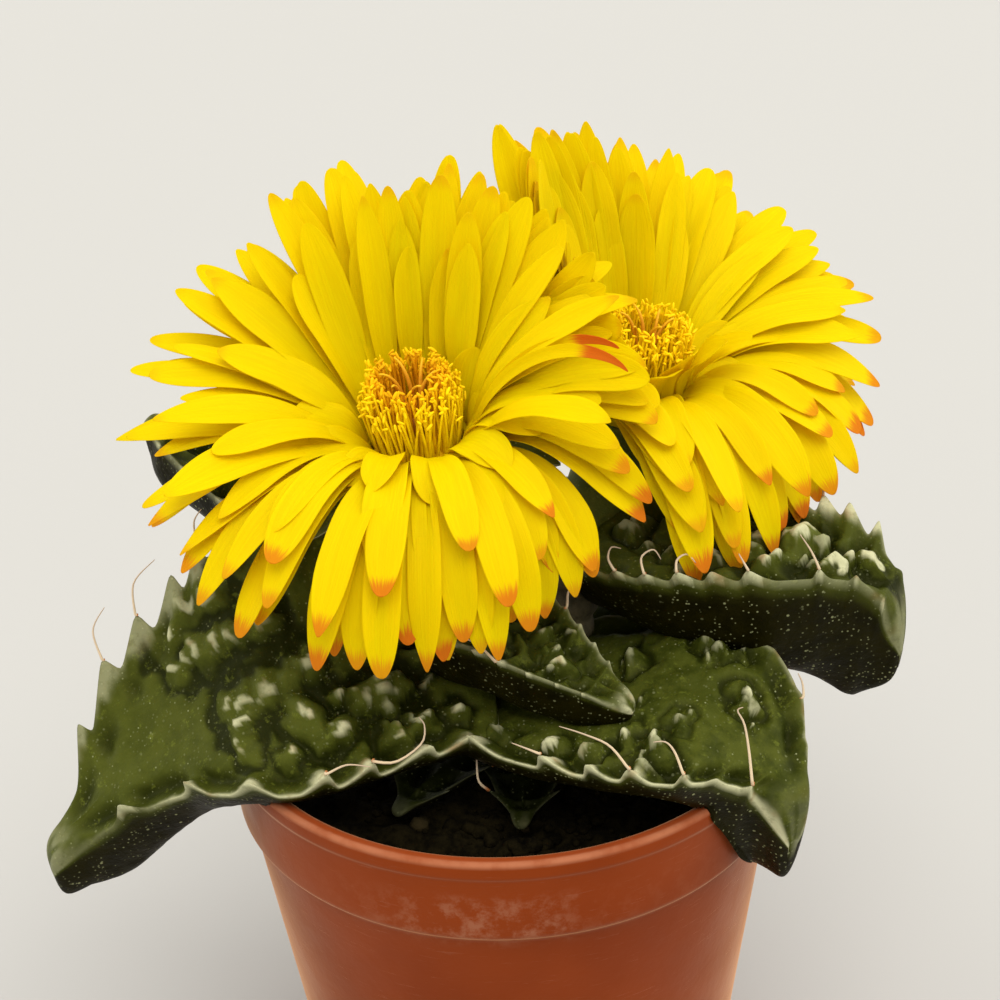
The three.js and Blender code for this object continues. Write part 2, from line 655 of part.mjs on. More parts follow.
// Half width of a petal at share s of its length: a narrow root, widest past the middle, and a blunt tip.
function petalWidth(s) {
  const spread = THREE.MathUtils.smoothstep(s, 0, 0.55);
  const tip = s > 0.74 ? Math.sqrt(Math.max(0, 1 - ((s - 0.74) / 0.26) ** 2)) : 1;
  return (0.36 + 0.64 * spread) * (0.12 + 0.88 * tip);
}

// Points down the middle of a petal, with the way along, across and up at each.
function petalLine(bloom, spec) {
  const plane = parting();
  const points = [placed(bloom, round(spec.ring, rad(spec.turn), spec.height))];
  for (let i = 0; i < PETAL.steps; i++) {
    const s = (i + 0.5) / PETAL.steps;
    const slope = rad(spec.rise + (spec.fall - spec.rise) * (1 - (1 - s) ** PETAL.bend));
    const turn = rad(spec.turn + spec.drift * s);
    const step = V(Math.cos(slope) * Math.cos(turn), Math.cos(slope) * Math.sin(turn), Math.sin(slope));
    points.push(points[i].clone().addScaledVector(step, spec.length / PETAL.steps));
  }
  const clear = spec.half + GAP;
  for (const point of points) {
    const over = -bloom.side * point.clone().sub(plane.point).dot(plane.normal) + clear;
    const k = PARTING.softness;
    const push = over > k ? over : over > -k ? (over + k) ** 2 / (4 * k) : 0;
    point.addScaledVector(plane.normal, bloom.side * push);
  }
  return points.map((point, i) => {
    const ahead = points[Math.min(i + 1, PETAL.steps)].clone().sub(points[Math.max(i - 1, 0)]).normalize();
    const turn = rad(spec.turn + (spec.drift * i) / PETAL.steps);
    const across = V(-Math.sin(turn), Math.cos(turn), 0);
    across.addScaledVector(ahead, -across.dot(ahead)).normalize().applyAxisAngle(ahead, rad(spec.roll));
    return { point, ahead, across, up: V(0, 0, 0).crossVectors(ahead, across) };
  });
}

function petal(bloom, spec) {
  const line = petalLine(bloom, spec);
  const rings = PETAL.stations.slice(0, -1).map((i) => {
    const { point, across, up } = line[i];
    const half = spec.half * petalWidth(i / PETAL.steps);
    return [
      point.clone().addScaledVector(across, half),
      point.clone().addScaledVector(up, -PETAL.thick),
      point.clone().addScaledVector(across, -half),
    ];
  });
  const end = line[PETAL.steps];
  return loft(rings, end.point.clone().addScaledVector(end.up, -PETAL.thick / 2));
}

function petals(bloom) {
  const { ringOuter, ringInner, ringHeight, ringSides } = HEART;
  const outside = [[ringOuter, 0], [ringOuter + 0.2, ringHeight * 0.6], [ringOuter - 0.5, ringHeight]];
  const ring = turned([[ringInner, 0], ...outside, [ringInner, ringHeight], [ringInner, 0]], ringSides);
  const all = [placedSolid(bloom, ring)];
  PETAL_ROWS.forEach((rule, row) => {
    for (let i = 0; i < rule.count; i++) all.push(petal(bloom, petalSpec(bloom, row, i)));
  });
  return union(all);
}

// A solid of the flower's own frame, placed on the plant.
function placedSolid(bloom, made) {
  const turn = new THREE.Quaternion().setFromUnitVectors(V(0, 0, 1), bloomAxis(bloom));
  const matrix = new THREE.Matrix4().compose(V(...bloom.heart), turn, V(1, 1, 1));
  return made.transform(matrix.toArray());
}

// A thin three-sided spike through points, from radius wide to a point.
function spike(points, wide) {
  const rings = points.slice(0, -1).map((point, i) => {
    const ahead = points[i + 1].clone().sub(point).normalize();
    const level = Math.abs(ahead.z) > 0.9 ? V(1, 0, 0) : V(0, 0, 1);
    const side = V(0, 0, 0).crossVectors(ahead, level).normalize();
    const other = V(0, 0, 0).crossVectors(ahead, side);
    return ringAbout(point, side, other, wide * (1 - (0.35 * i) / points.length), 3);
  });
  return loft(rings, points[points.length - 1]);
}

// A dense ring of filaments, with the longest ones standing out of it.
function stamens(bloom) {
  const { count, outer, inner, base, dome } = STAMEN;
  const outside = [[outer, GAP], [outer, base], [outer - 0.5, dome]];
  const all = [turned([[inner, GAP], ...outside, [inner, dome], [inner, GAP]], 14)];
  for (let i = 0; i < count; i++) {
    const turn = i * GOLDEN_ANGLE;
    const share = (i + 0.5) / count;
    const radius = inner + 0.75 + (outer - inner - 1.05) * share;
    const height = STAMEN.height + STAMEN.spread * draw(bloom.seed, 700 + i) - 0.8 * (1 - share);
    const flare = STAMEN.flare + 0.8 * share + 0.5 * draw(bloom.seed, 800 + i);
    const middle = round(radius + flare * 0.5, turn + 0.05, height * 0.8);
    const tip = round(radius + flare * 0.6, turn + 0.2, height);
    all.push(spike([round(radius, turn, base - 1), middle, tip], STAMEN.thick));
  }
  return placedSolid(bloom, union(all));
}

// The ovary's domed top with its styles, which bend outwards at their tips.
function pistil(bloom) {
  const { count, base, dome, bend, flare } = STYLE;
  const radius = STAMEN.inner - GAP;
  const all = [turned([[0, GAP], [radius, GAP], [radius, base], [1, dome - 0.2], [0, dome]], 10)];
  for (let i = 0; i < count; i++) {
    const turn = (i * 2 * Math.PI) / count + 0.3;
    const height = STYLE.height + STYLE.spread * draw(bloom.seed, 900 + i);
    const line = [round(0.7, turn, base), round(1, turn + 0.1, bend), round(1.5, turn + 0.3, height)];
    all.push(spike([...line, round(flare, turn + 0.7, height + 0.5)], STYLE.thick));
  }
  return placedSolid(bloom, union(all));
}

// The green stalk under a flower, which widens into the cup that the petals sit on, wider by spare.
function stalk(bloom, spare = 0) {
  const heart = V(...bloom.heart);
  const axis = bloomAxis(bloom);
  const [x, y, z] = STEM.branches[bloom.branch].at(-1);
  const foot = V(x, y, z + GAP);
  const end = heart.clone().addScaledVector(axis, -GAP);
  const pull = end.distanceTo(foot) * 0.45;
  const low = foot.clone().add(V(0, 0, pull * 0.6));
  const high = end.clone().addScaledVector(axis, -pull);
  const path = new THREE.CubicBezierCurve3(foot, low, high, end);
  const rings = CALYX.levels.map(([t, radius]) => {
    const normal = V(0, 0, 1).lerp(axis, t).normalize();
    const turn = new THREE.Quaternion().setFromUnitVectors(V(0, 0, 1), normal);
    const points = [];
    for (let i = 0; i < CALYX.sides; i++) {
      const angle = (i * 2 * Math.PI) / CALYX.sides;
      const ribbed = radius * (1 + CALYX.ribs * t * Math.cos(5 * angle)) + spare;
      points.push(round(ribbed, angle, 0).applyQuaternion(turn).add(path.getPoint(t)));
    }
    return points;
  });
  return loft(rings);
}

// Stalk and cup, with five sepals under the petals.
function calyx(bloom) {
  const all = [stalk(bloom)];
  for (let i = 0; i < 5; i++) all.push(placedSolid(bloom, sepal((i * 2 * Math.PI) / 5)));
  return union(all);
}

// A keeled sepal that points along turn and bends down a little at its tip.
function sepal(turn) {
  const section = ([r, z, half, thick]) => {
    const centre = V(r * Math.cos(turn), r * Math.sin(turn), z);
    const side = V(-Math.sin(turn), Math.cos(turn), 0).multiplyScalar(half);
    return [centre.clone().add(side), centre.clone().add(V(0, 0, -thick)), centre.clone().sub(side)];
  };
  const [r, z] = CALYX.sepalTip;
  return loft(CALYX.sepal.map(section), V(r * Math.cos(turn), r * Math.sin(turn), z));
}

const plant = new THREE.Group();
const corollas = BLOOMS.map(petals);
BLOOMS.forEach((bloom, i) => {
  plant.add(mesh(bloom.name + "_calyx", calyx(bloom), CALYX_GREEN));
  plant.add(mesh(bloom.name + "_petals", corollas[i], YELLOW));
  plant.add(mesh(bloom.name + "_stamens", stamens(bloom), GOLD));
  plant.add(mesh(bloom.name + "_pistil", pistil(bloom), AMBER));
});

// Each leaf gives way to the stem, the stalks and the pot's rim, and to the leaves above it.
const supports = [stem(GAP), rimEnvelope(), ...BLOOMS.map((bloom) => stalk(bloom, GAP))];
const envelopes = LEAVES.map((leaf) => leafEnvelope(leaf, LEAF_GAP));
const grown = LEAVES.map((leaf, i) => {
  const { body, teeth } = leafBody(leaf);
  const above = [...supports, ...envelopes.slice(0, i)];
  return { body: above.reduce((rest, other) => rest.subtract(other), body), teeth };
});
LEAVES.forEach((leaf, i) => {
  const others = [...supports, ...corollas, ...grown.filter((_, k) => k !== i).map((other) => other.body)];
  plant.add(mesh(leaf.name, union([grown[i].body, ...leafExtras(leaf, grown[i].teeth, others)]), GREEN));
});

plant.add(mesh("stem", stem(), BARK));
plant.add(mesh("soil", soil(stem(GAP)), EARTH));
plant.add(mesh("pot", pot(), TERRACOTTA));

export default plant;
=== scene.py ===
import json
import math

import bmesh
import bpy
import numpy as np
from mathutils import Matrix, Vector, noise

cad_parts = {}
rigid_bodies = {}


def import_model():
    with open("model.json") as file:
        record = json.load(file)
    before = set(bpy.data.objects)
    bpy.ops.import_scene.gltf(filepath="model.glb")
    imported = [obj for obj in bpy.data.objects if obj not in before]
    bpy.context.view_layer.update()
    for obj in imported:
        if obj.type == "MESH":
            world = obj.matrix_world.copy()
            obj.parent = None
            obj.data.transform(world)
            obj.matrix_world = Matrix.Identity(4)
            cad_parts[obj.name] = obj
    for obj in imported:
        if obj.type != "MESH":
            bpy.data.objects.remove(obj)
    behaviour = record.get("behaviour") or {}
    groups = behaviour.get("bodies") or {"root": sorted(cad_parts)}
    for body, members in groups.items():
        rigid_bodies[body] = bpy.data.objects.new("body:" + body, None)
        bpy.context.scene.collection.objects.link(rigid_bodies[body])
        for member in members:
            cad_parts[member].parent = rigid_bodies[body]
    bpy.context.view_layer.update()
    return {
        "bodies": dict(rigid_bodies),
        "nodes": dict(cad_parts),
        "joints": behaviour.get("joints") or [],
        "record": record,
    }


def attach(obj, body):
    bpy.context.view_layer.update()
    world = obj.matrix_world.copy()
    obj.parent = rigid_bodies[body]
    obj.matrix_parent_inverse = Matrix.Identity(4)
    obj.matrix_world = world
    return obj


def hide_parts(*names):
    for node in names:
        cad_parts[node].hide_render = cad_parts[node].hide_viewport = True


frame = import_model()

# A potted tiger jaws in flower. The tables give the plant's layout in millimetres, as the solid model
# has it: +Z up, +X to the right, +Y away from the camera, and the origin at the centre of the pot's
# flat base. GAP is the clear space between neighbouring pieces.
MM = 0.001
GAP = 0.35

# The pot by its radii and its heights above the base, how far its collar reaches down, and how thick its
# wall and its rolled lip are. The soil's clods are [height, size, seed] of the unevenness of its surface.
POT = {
    "height": 50.0, "rim": 27.5, "collar_drop": 9.3, "collar": 26.9, "body": 26.0, "base": 20.3,
    "wall": 1.1, "lip": 2.1, "floor": 1.3, "sides": 192,
    "drains": 5, "drain_radius": 2.4, "drain_circle": 13.0,
}
SOIL = {
    "top": 44.2, "relief": 0.42, "mound": 1.4, "mound_spread": 11.0,
    "clods": [(0.55, 1.9, 3), (0.28, 0.8, 5)], "sides": 150, "rings": 60,
    "crumbs": 620, "smallest_crumb": 0.28, "crumb_range": 0.75,
}

# The trunk and its branches, as rows of [x, y, z, radius].
TRUNK = [[0.4, 1, 35, 3.4], [0.4, 1, 44, 4.8], [0.8, 1.4, 51, 5.6], [1, 1.8, 55, 5]]
BRANCHES = [
    [[0.2, 1, 48, 4.4], [-2.4, 0.4, 55, 4.6], [-3.8, 0.2, 60.6, 3.9]],
    [[1.2, 2, 48, 4.4], [4, 3.4, 55, 4.8], [6, 4.8, 62, 4]],
]

# shade, how strong the painted highlight on its bumps' tops is, and how pale its tip is
# Leaves, from the uppermost down. Right and left are as seen from the leaf's root, and shares run from 0 at
# the root to 1 at the tip.
# sections: the upper face's middle [x, y, z], its half width, its roll in degrees and the keel's depth
# drop: how far the flanks turn from the face's own down to straight down, at the tip
# teeth: [share of the length, size on the right, size on the left], or how many the rule spaces out
# tooth_way: how far a full tooth on the right and on the left stands out, up and back
# slant: how long a tooth's outer slope is on the right and on the left, as a share of the length
# bristles: [share of the length, -1 on the right or 1 on the left, a path], where the path's places are
# right and up from the bristle's root as the viewer sees them
# warts: large bumps at [share of the length, share of the half width, positive on the left], with a size
# where it isn't drawn
# ridges: lines of bumps through several such places
# edges, tooth_tips, fade: how pale the horn is on the right and the left, and how much is lost at the tip
# nose, power, reach: how long and how blunt the rounded end is, and how far it passes the last section
# chin, base: how far the keel draws in at the tip, and how far the rounded foot reaches back
# mottle, crest, tip_pale: how blotched the face is, partly mottling and partly painted
# pale_from, smooth_tip: how high a bump turns to horn, and how much of the length has only low bumps
LEAF_RULE = {
    "edges": (0.35, 0.35), "tooth_tips": (0.8, 0.8), "chin": 0.15, "tip_pale": 0.3, "base": 1.4,
    "small_bumps": 16, "fade": 0.0, "smooth_tip": 0.3, "nose": 4.0, "reach": 0.8, "slant": (0.1, 0.1),
    "mottle": 0.8, "power": 2.9, "pale_from": 0.74, "crest": 1.0,
}
# Small leaves low in the pot: their pale edges, tooth tips and tip are dimmed as painted shade.
SMALL_LEAF = {
    "teeth": 3, "wart_count": 0, "small_bumps": 0, "edges": (0.05, 0.05), "tooth_tips": (0.15, 0.15),
    "base": 0.6, "nose": 1.2, "tip_pale": 0.05,
}
LEAVES = [
    {
        "name": "leaf_right", "seed": 3, "drop": 0.8, "edges": (0.25, 0.3), "tooth_tips": (0.9, 0.9),
        "nose": 6.0, "power": 2.3, "reach": 1.8, "slant": (0.05, 0.06), "mottle": 0.4, "pale_from": 0.5,
        "crest": 2.2, "chin": 0.0,
        "warts": [
            [0.512, 0.16], [0.67, -0.05], [0.3, -0.35], [0.4, 0.2], [0.45, -0.4], [0.62, -0.5], [0.75, 0.3],
        ],
        "teeth": [
            [0.09, 0.5, 0.6], [0.15, 0.6, 0], [0.205, 0.6, 0.8], [0.268, 0.8, 0], [0.333, 0.8, 0.8],
            [0.408, 0.8, 0.8], [0.5, 0, 0.8], [0.575, 0.7, 0.9], [0.633, 0, 0.9], [0.723, 0.5, 0.8],
            [0.86, 0.6, 0.5],
        ],
        "tooth_way": [[0.5, 1.7, 0.4], [1.7, 1.2, 0.6]],
        "bristles": [
            [0.408, -1, [[-0.4, 0.7], [-0.8, 1.4]]],
            [0.575, -1, [[-0.7, 1.5], [-1.7, 3.0]]],
            [0.575, 1, [[-0.1, 1.5], [-0.3, 3.2]]],
            [0.09, -1, [[-0.3, 1.2], [0.6, 1.6], [0.9, 0.5]]],
            [0.15, -1, [[-0.5, 1.0], [-0.2, 2.0], [0.7, 1.9]]],
            [0.205, -1, [[-0.2, 1.4], [0.9, 2.1], [1.6, 1.2]]],
            [0.268, -1, [[0.1, 1.0], [1.0, 1.5], [1.8, 0.7]]],
        ],
        "sections": [
            [9.5, 3.4, 65.2, 6, 6, 6],
            [16, 0, 66.4, 7.2, 5, 9],
            [24, -2.2, 66.9, 6.7, 4, 12],
            [31, -3.4, 66.4, 5, 4, 13.8],
            [35.4, -5, 64.8, 2.9, 4, 15],
            [37, -5.9, 63.2, 2, 4, 14.6],
        ],
    },
    {
        "name": "leaf_front", "seed": 4, "drop": 0.5, "edges": (0.35, 0.35), "tooth_tips": (1.0, 0.6),
        "chin": 0.05, "nose": 3.5, "tip_pale": 0.9, "slant": (0.05, 0.06), "mottle": 0.7, "pale_from": 0.72,
        "warts": [
            [0.27, -0.23, 0.5], [0.18, -0.39, 0.5], [0.18, 0.55, 0.5], [0.42, 0.2, 0.5], [0.58, -0.2, 0.45],
        ],
        "teeth": [
            [0.06, 0.6, 0.5], [0.13, 0.8, 0], [0.21, 0.85, 0.6], [0.315, 0.8, 0.6],
            [0.415, 0.8, 0.7], [0.53, 0.6, 0.6], [0.65, 0.5, 0.6], [0.775, 0.5, 0.6],
        ],
        "tooth_way": [[1.4, 0.9, 0.5], [0.4, 0.35, 0.2]],
        "bristles": [
            [0.06, -1, [[-1.4, 1.4], [-2.8, 2.6]]],
            [0.415, -1, [[-1.4, 1.4], [-2.5, 1.9], [-3.9, 2.2]]],
            [0.415, 1, [[0.1, 1.2], [0.6, 1.7], [0.8, 1.0]]],
        ],
        "sections": [
            [-4.4, -4.2, 63.4, 5.4, 4, 7.6],
            [0.2, -8.2, 63.7, 5.4, 4, 7.4],
            [4.3, -11.3, 62.1, 4.4, 2, 6.8],
            [8, -13.5, 60.1, 2.8, 0, 5.4],
            [11, -14.9, 58.6, 1.5, 0, 3.2],
        ],
    },
    {
        "name": "leaf_back", "seed": 6, "teeth": 4, "wart_count": 3, "drop": 0.3,
        "sections": [
            [-2.8, 5.4, 62.5, 5.2, 0, 4],
            [-3.6, 12, 65, 6.2, 0, 4.6],
            [-4.4, 19, 68.4, 5, 0, 5.2],
            [-4.8, 24.4, 71.6, 1.4, 0, 4.2],
        ],
    },
    {
        "name": "leaf_back_left", "seed": 5, "teeth": 5, "wart_count": 4, "drop": 0.4,
        "sections": [
            [-7, 4.4, 62, 5.4, 6, 4.2],
            [-14.6, 9, 64.4, 6.8, 6, 4.6],
            [-23.6, 13.4, 67.6, 6.4, 6, 5],
            [-30.6, 16.4, 71.2, 3.8, 4, 5.8],
            [-33.6, 17.6, 73.4, 1.6, 0, 5],
        ],
    },
    {
        "name": "leaf_back_right", "seed": 7, "teeth": 4, "wart_count": 4, "drop": 0.3,
        "sections": [
            [9.4, 8.2, 62.6, 5.8, 0, 4.4],
            [15, 14, 64, 7.2, 0, 5],
            [21, 20, 66.6, 6, 0, 6.2],
            [26, 25, 70, 1.6, 0, 5],
        ],
    },
    {
        "name": "leaf_left", "seed": 1, "drop": 0.7, "edges": (0.25, 0.9), "tooth_tips": (0.35, 1.0),
        "nose": 3.8, "power": 3.3, "reach": 1.6, "fade": 0.85, "smooth_tip": 0.7, "slant": (0.1, 0.055),
        "mottle": 0.35, "chin": 0.0,
        "warts": [
            [0.333, 0.42, 1.0], [0.283, 0.59, 0.85], [0.17, 0.73, 0.8], [0.125, 0.66, 0.7],
            [0.065, 0.6, 0.6], [0.258, 0.32, 0.7], [0.443, 0.34, 0.8], [0.453, 0.53, 0.7],
            [0.537, -0.8, 0.8], [0.38, 0.68, 0.6],
        ],
        "ridges": [
            [[0.542, -0.51], [0.49, -0.48], [0.425, -0.4], [0.357, -0.37]],
            [[0.465, 0.16], [0.39, 0.14], [0.302, 0.05]],
            [[0.512, -0.91], [0.478, -0.85], [0.44, -0.78]],
            [[0.217, 0.39], [0.152, 0.29]],
        ],
        "teeth": [
            [0.065, 0, 0.7], [0.133, 0.5, 0.85], [0.24, 0.6, 0.85], [0.33, 0.7, 0.9], [0.39, 0.8, 0],
            [0.45, 1, 0.9], [0.511, 1.1, 0], [0.578, 1.1, 0.9], [0.642, 1, 0], [0.735, 0.8, 0.8],
        ],
        "tooth_way": [[2.4, 0.9, 1.1], [-0.7, 2.3, 0.5]],
        "bristles": [
            [0.45, -1, [[-0.2, 1.8], [0.5, 3.0]]],
            [0.578, -1, [[-0.1, 2.8], [1.9, 5.0]]],
            [0.642, -1, [[-0.8, 2.6], [0.3, 4.8]]],
            [0.24, 1, [[2.0, 0.0], [4.2, 1.6], [4.5, 3.2], [4.0, 4.0]]],
            [0.33, 1, [[1.8, 0.8], [4.0, 0.6]]],
        ],
        "sections": [
            [-2.6, -4.2, 57.4, 10.4, -22, 4.6],
            [-13, -6.7, 60, 12.5, -35, 5.4],
            [-23.4, -8.9, 59.3, 12.4, -39, 6.4],
            [-32.6, -8.2, 53.2, 7.6, -36, 8.4],
            [-40, -9.6, 45.9, 3.4, -22, 9.6],
            [-43.7, -10.7, 42.7, 1.7, -8, 7.8],
        ],
    },
    {
        "name": "leaf_front_right", "seed": 2, "drop": 0.7, "edges": (1.0, 0.4), "tooth_tips": (1.0, 0.5),
        "chin": 0.0, "nose": 4.4, "power": 3.4, "reach": 1.2, "slant": (0.045, 0.06),
        "mottle": 0.75, "small_bumps": 20, "pale_from": 0.55, "tip_pale": 0.1,
        "warts": [
            [0.22, -0.73, 0.5], [0.37, -0.53, 0.5], [0.432, -0.48, 0.5], [0.585, 0.38, 0.55],
            [0.642, 0.13, 0.3], [0.478, -0.28, 0.4],
        ],
        "teeth": [
            [0.103, 0.8, 0.3], [0.25, 0.9, 0.3], [0.35, 0.8, 0.3], [0.445, 0.85, 0.3],
            [0.578, 0.8, 0.35], [0.69, 0.5, 0.35], [0.805, 0.7, 0.3],
        ],
        "tooth_way": [[0.3, 2.0, 0.3], [0.9, 0.4, 0.3]],
        "bristles": [
            [0.25, -1, [[-1.0, 0.4], [-2.3, 0.9]]],
            [0.445, -1, [[-1.6, 1.9], [-3.8, 2.9], [-6.0, 3.6]]],
            [0.578, -1, [[-0.7, 1.8], [-1.5, 2.7], [-2.6, 2.7]]],
            [0.805, -1, [[-0.3, 2.9], [-0.7, 5.2], [-1.3, 6.4], [-0.8, 6.7]]],
            [0.69, 1, [[-0.1, 1.2], [-0.5, 2.1]]],
        ],
        "sections": [
            [0, -3.4, 53.8, 10.4, 4, 4.4],
            [7.6, -9, 56.2, 11.8, 8, 4.8],
            [14.4, -13, 57.8, 11.6, 12, 5.2],
            [20.6, -16.2, 56.3, 8.8, 12, 6.6],
            [24.1, -18.8, 53, 4.2, 8, 13],
            [25.4, -20.6, 50.8, 1.8, 10, 13.4],
        ],
    },
    {
        "name": "leaf_low_right", "seed": 9, "teeth": 5, "wart_count": 4, "drop": 0.6,
        "sections": [
            [8.4, 4, 55, 6.4, 0, 4.4],
            [16, 7.4, 56.6, 8.6, 0, 4.8],
            [24, 11, 57, 8, 0, 5.2],
            [31, 14, 53, 4.4, 0, 6],
            [34, 15.2, 49.6, 1.6, 0, 5],
        ],
    },
    {
        "name": "leaf_low_back", "seed": 8, "teeth": 5, "wart_count": 4, "drop": 0.6,
        "sections": [
            [-0.4, 7, 55, 7.4, 0, 4.4],
            [-1.4, 15, 57, 9.6, 0, 5],
            [-2.4, 24, 57.4, 8.6, 0, 5.4],
            [-3.2, 32, 53.4, 4.6, 0, 6.4],
            [-3.6, 36, 49, 1.6, 0, 5.4],
        ],
    },
    {
        "name": "leaf_small_left", "seed": 12, "drop": 0.3, **SMALL_LEAF,
        "sections": [
            [-1.6, -3.4, 48.4, 2.6, 0, 1.8],
            [-6, -9, 48.8, 3.6, 0, 2],
            [-10.4, -14.6, 47.6, 1.2, 0, 1.6],
        ],
    },
    {
        "name": "leaf_small_front", "seed": 13, "drop": 0.3, **SMALL_LEAF,
        "sections": [
            [1.2, -4, 48.2, 2.6, 0, 1.8],
            [1.4, -10.4, 48.4, 3.6, 0, 2],
            [0.8, -16.6, 47, 1.2, 0, 1.6],
        ],
    },
]

# Teeth, bumps and the rest of a leaf's relief, in shares of its length or width and in millimetres.
TOOTH = {
    "from": 0.1, "to": 0.9, "way": [2.1, 1.2, 0.5], "full_at": 8.0, "steep": 0.028, "curve": 1.6,
    "grown": 1.25, "root": 0.74, "blend": 1.5, "flank": 0.5, "flank_blend": 2.5, "horn_from": 0.2,
    "horn_full": 0.52, "notch": 0.9, "notch_from_edge": 1.7, "notch_width": 1.0,
}
BUMP = {"radius": 2.0, "height": 2.3, "stretch": 0.8, "moat": 0.4, "warp": 0.85, "warp_size": 1.5}
RELIEF = {
    "swell": 0.34, "swell_size": 4.2, "wave": 0.2, "grain": 0.09, "crest_grain": 0.22, "fine_size": 0.9,
    "crust": 0.12, "crust_size": 0.45,
}
FLANK = {"swell": 0.4, "swell_size": 5.0, "grain": 0.08, "fullness": 0.9}
NOSE = {"soft_from": 0.74, "soft_full": 0.98, "middle": 0.45, "passes": 14}
DISH = {"depth": 0.8, "end": 1.15}
# How finely a leaf is built, along it, across its upper face and round its flanks. A leaf with bristles of
# its own is one that the viewer sees well.
SEEN_WELL, SEEN_LITTLE = (240, 73, 45), (120, 45, 25)
BRISTLE = {"thick": 0.13, "tip": 0.035, "sunk": 0.3}
PLAIN_GREEN = {"hollow": 0.0, "crest": 0.0, "mottle": 0.0}
SEPAL_GREEN = {"hollow": 0.0, "crest": 0.0, "mottle": 0.8, "bristle": 0.0}

# Flowers. Directions are in degrees from +X, through the back.
# heart, lean: the middle of the petals' ring, and the axis' tilt for each unit of height
# branch: the branch that the stalk grows from
# opening: at every 45 degrees, the slope at a petal's root, the slope at its tip and its length
# side, cross: the side of the plane between the flowers, and how far petal tips may pass that plane
# ripe: how orange the inner stamens are
# strays: odd petals, as [direction, drift of it, slope at the root, slope at the tip, length, how early it
# bends, how scorched its tip is, share of the usual width, roll]
BLOOMS = [
    {
        "name": "front_bloom", "heart": [-7, 2, 76], "lean": [-0.06, -0.16], "branch": 0, "seed": 11,
        "side": -1, "cross": 3.0, "ripe": 1.0,
        "strays": [
            [15, -2, 88, 20, 21.5, 1.7, 0.0, 0.9, 0], [-10, 2, 81, 26, 21.2, 1.7, 0.3, 0.8, 10],
            [-36, -12, 60, 0, 20.8, 1.3, 0.1, 0.9, 0], [-20, -9, 77, -52, 22, 0.55, 1.3, 0.34, 50],
            [-12, -5, 77, -40, 20, 0.55, 1.2, 0.3, 60], [4, -4, 84, 0, 22, 1.2, 0.3, 0.85, 0],
            [250, 8, 84, -26, 9.6, 1.6, 0.0, 0.95, 12], [279, -6, 80, -36, 9.8, 1.7, 0.0, 1.0, -8],
            [308, 6, 85, -30, 10, 1.5, 0.1, 1.05, 8], [330, -8, 86, -22, 11, 1.3, 0.0, 1.0, -8],
        ],
        "opening": [
            [74, 6, 21.5], [80, 52, 23], [78, 64, 23], [64, 38, 24],
            [44, -16, 22.2], [42, -54, 22.6], [38, -84, 22.4], [52, -86, 20.5],
        ],
    },
    {
        "name": "rear_bloom", "heart": [14.4, 14.2, 74], "lean": [0.1, -0.06], "branch": 1, "seed": 23,
        "side": 1, "cross": 0.0, "ripe": 0.45,
        "strays": [
            [204, 2, 88, 40, 12, 1.2, 0.0, 1.0, 0], [224, 6, 88, 24, 9.5, 1.2, 0.0, 1.0, 8],
            [243, -8, 88, 16, 9, 1.2, 0.0, 1.1, 0], [262, 4, 88, 6, 8.6, 1.2, 0.1, 1.1, -6],
            [281, 8, 88, 20, 9, 1.2, 0.0, 1.1, 4], [298, -4, 88, 34, 10, 1.2, 0.0, 1.05, 0],
            [314, 4, 88, 30, 11, 1.2, 0.1, 1.0, 6], [330, -4, 86, 20, 11.5, 1.2, 0.0, 1.0, 0],
        ],
        "opening": [
            [52, -54, 21], [60, 8, 23], [68, 52, 22.5], [78, 62, 25],
            [84, 68, 27], [72, 0, 21], [52, -66, 23], [54, -76, 20.2],
        ],
    },
]
# The first three rows are the solid model's. The others fill in between them: one more only on the side
# away from the viewer, and one of short inner petals in front. Columns: how many, the first one's place
# in the row, what is added to the slope at the root and at the tip, share of the length, radius and
# height of the roots, and the arc.
ROW_KEYS = ["count", "phase", "rise", "fall", "length", "ring", "height", "span"]
PETAL_ROWS = [dict(zip(ROW_KEYS, row)) for row in [
    (20, 0.0, 0, 0, 1.0, 5.7, 0.3, (0, 360)),
    (18, 0.5, 9, 15, 0.95, 5.3, 0.7, (0, 360)),
    (13, 0.2, 17, 32, 0.74, 4.9, 1.15, (0, 360)),
    (22, 0.35, 4, 7, 0.97, 5.5, 0.5, (0, 360)),
    (15, 0.7, 13, 23, 0.86, 5.1, 0.9, (0, 360)),
    (24, 0.28, 2, 4, 0.99, 5.6, 0.4, (0, 360)),
    (15, 0.5, 7, 10, 0.96, 5.2, 0.8, (10, 175)),
    (9, 0.45, 26, 40, 0.34, 4.6, 1.4, (175, 395)),
]]
PETAL = {
    "half": 1.78, "roll": 10.0, "twist": 46.0, "steps": 28, "bend": 1.7, "thick": 0.24, "channel": 0.2,
    "columns": 9, "midrib": 0.06, "wave": 0.1, "root": 0.36, "widest": 0.55, "tip": 0.3, "end": 0.06,
    "see_through": 0.42,
}
STRAY = {"turn": 10, "drift": 24, "roll": 26, "rise": 11, "fall": 24, "length": 0.15, "half": 0.3}
ODD = {"ring": 5.0, "height": 1.3, "first_key": 900, "cross": 6}
STEEPEST = {"rise": 86, "fall": 80}
PARTING = {"share": 0.6, "softness": 3.0}
PETAL_RING = [[4.4, 0], [6, 0], [6.2, 0.8], [5.4, 1.6], [4.4, 1.6]]
STAMEN = {
    "count": 330, "turn": 137.5, "foot": 2.2, "spread": 1.75, "tall": 7.0, "uneven": 2.3, "outer_drop": 2.2,
    "upright": 0.2, "flare": 0.75, "stray": 0.6, "twist": 0.5, "thick": 0.17, "thin": 0.11,
}
STAMEN_RING = [[2.1, 0.35], [4.1, 0.35], [4.1, 1.2], [3.3, 1.9], [2.1, 1.9]]
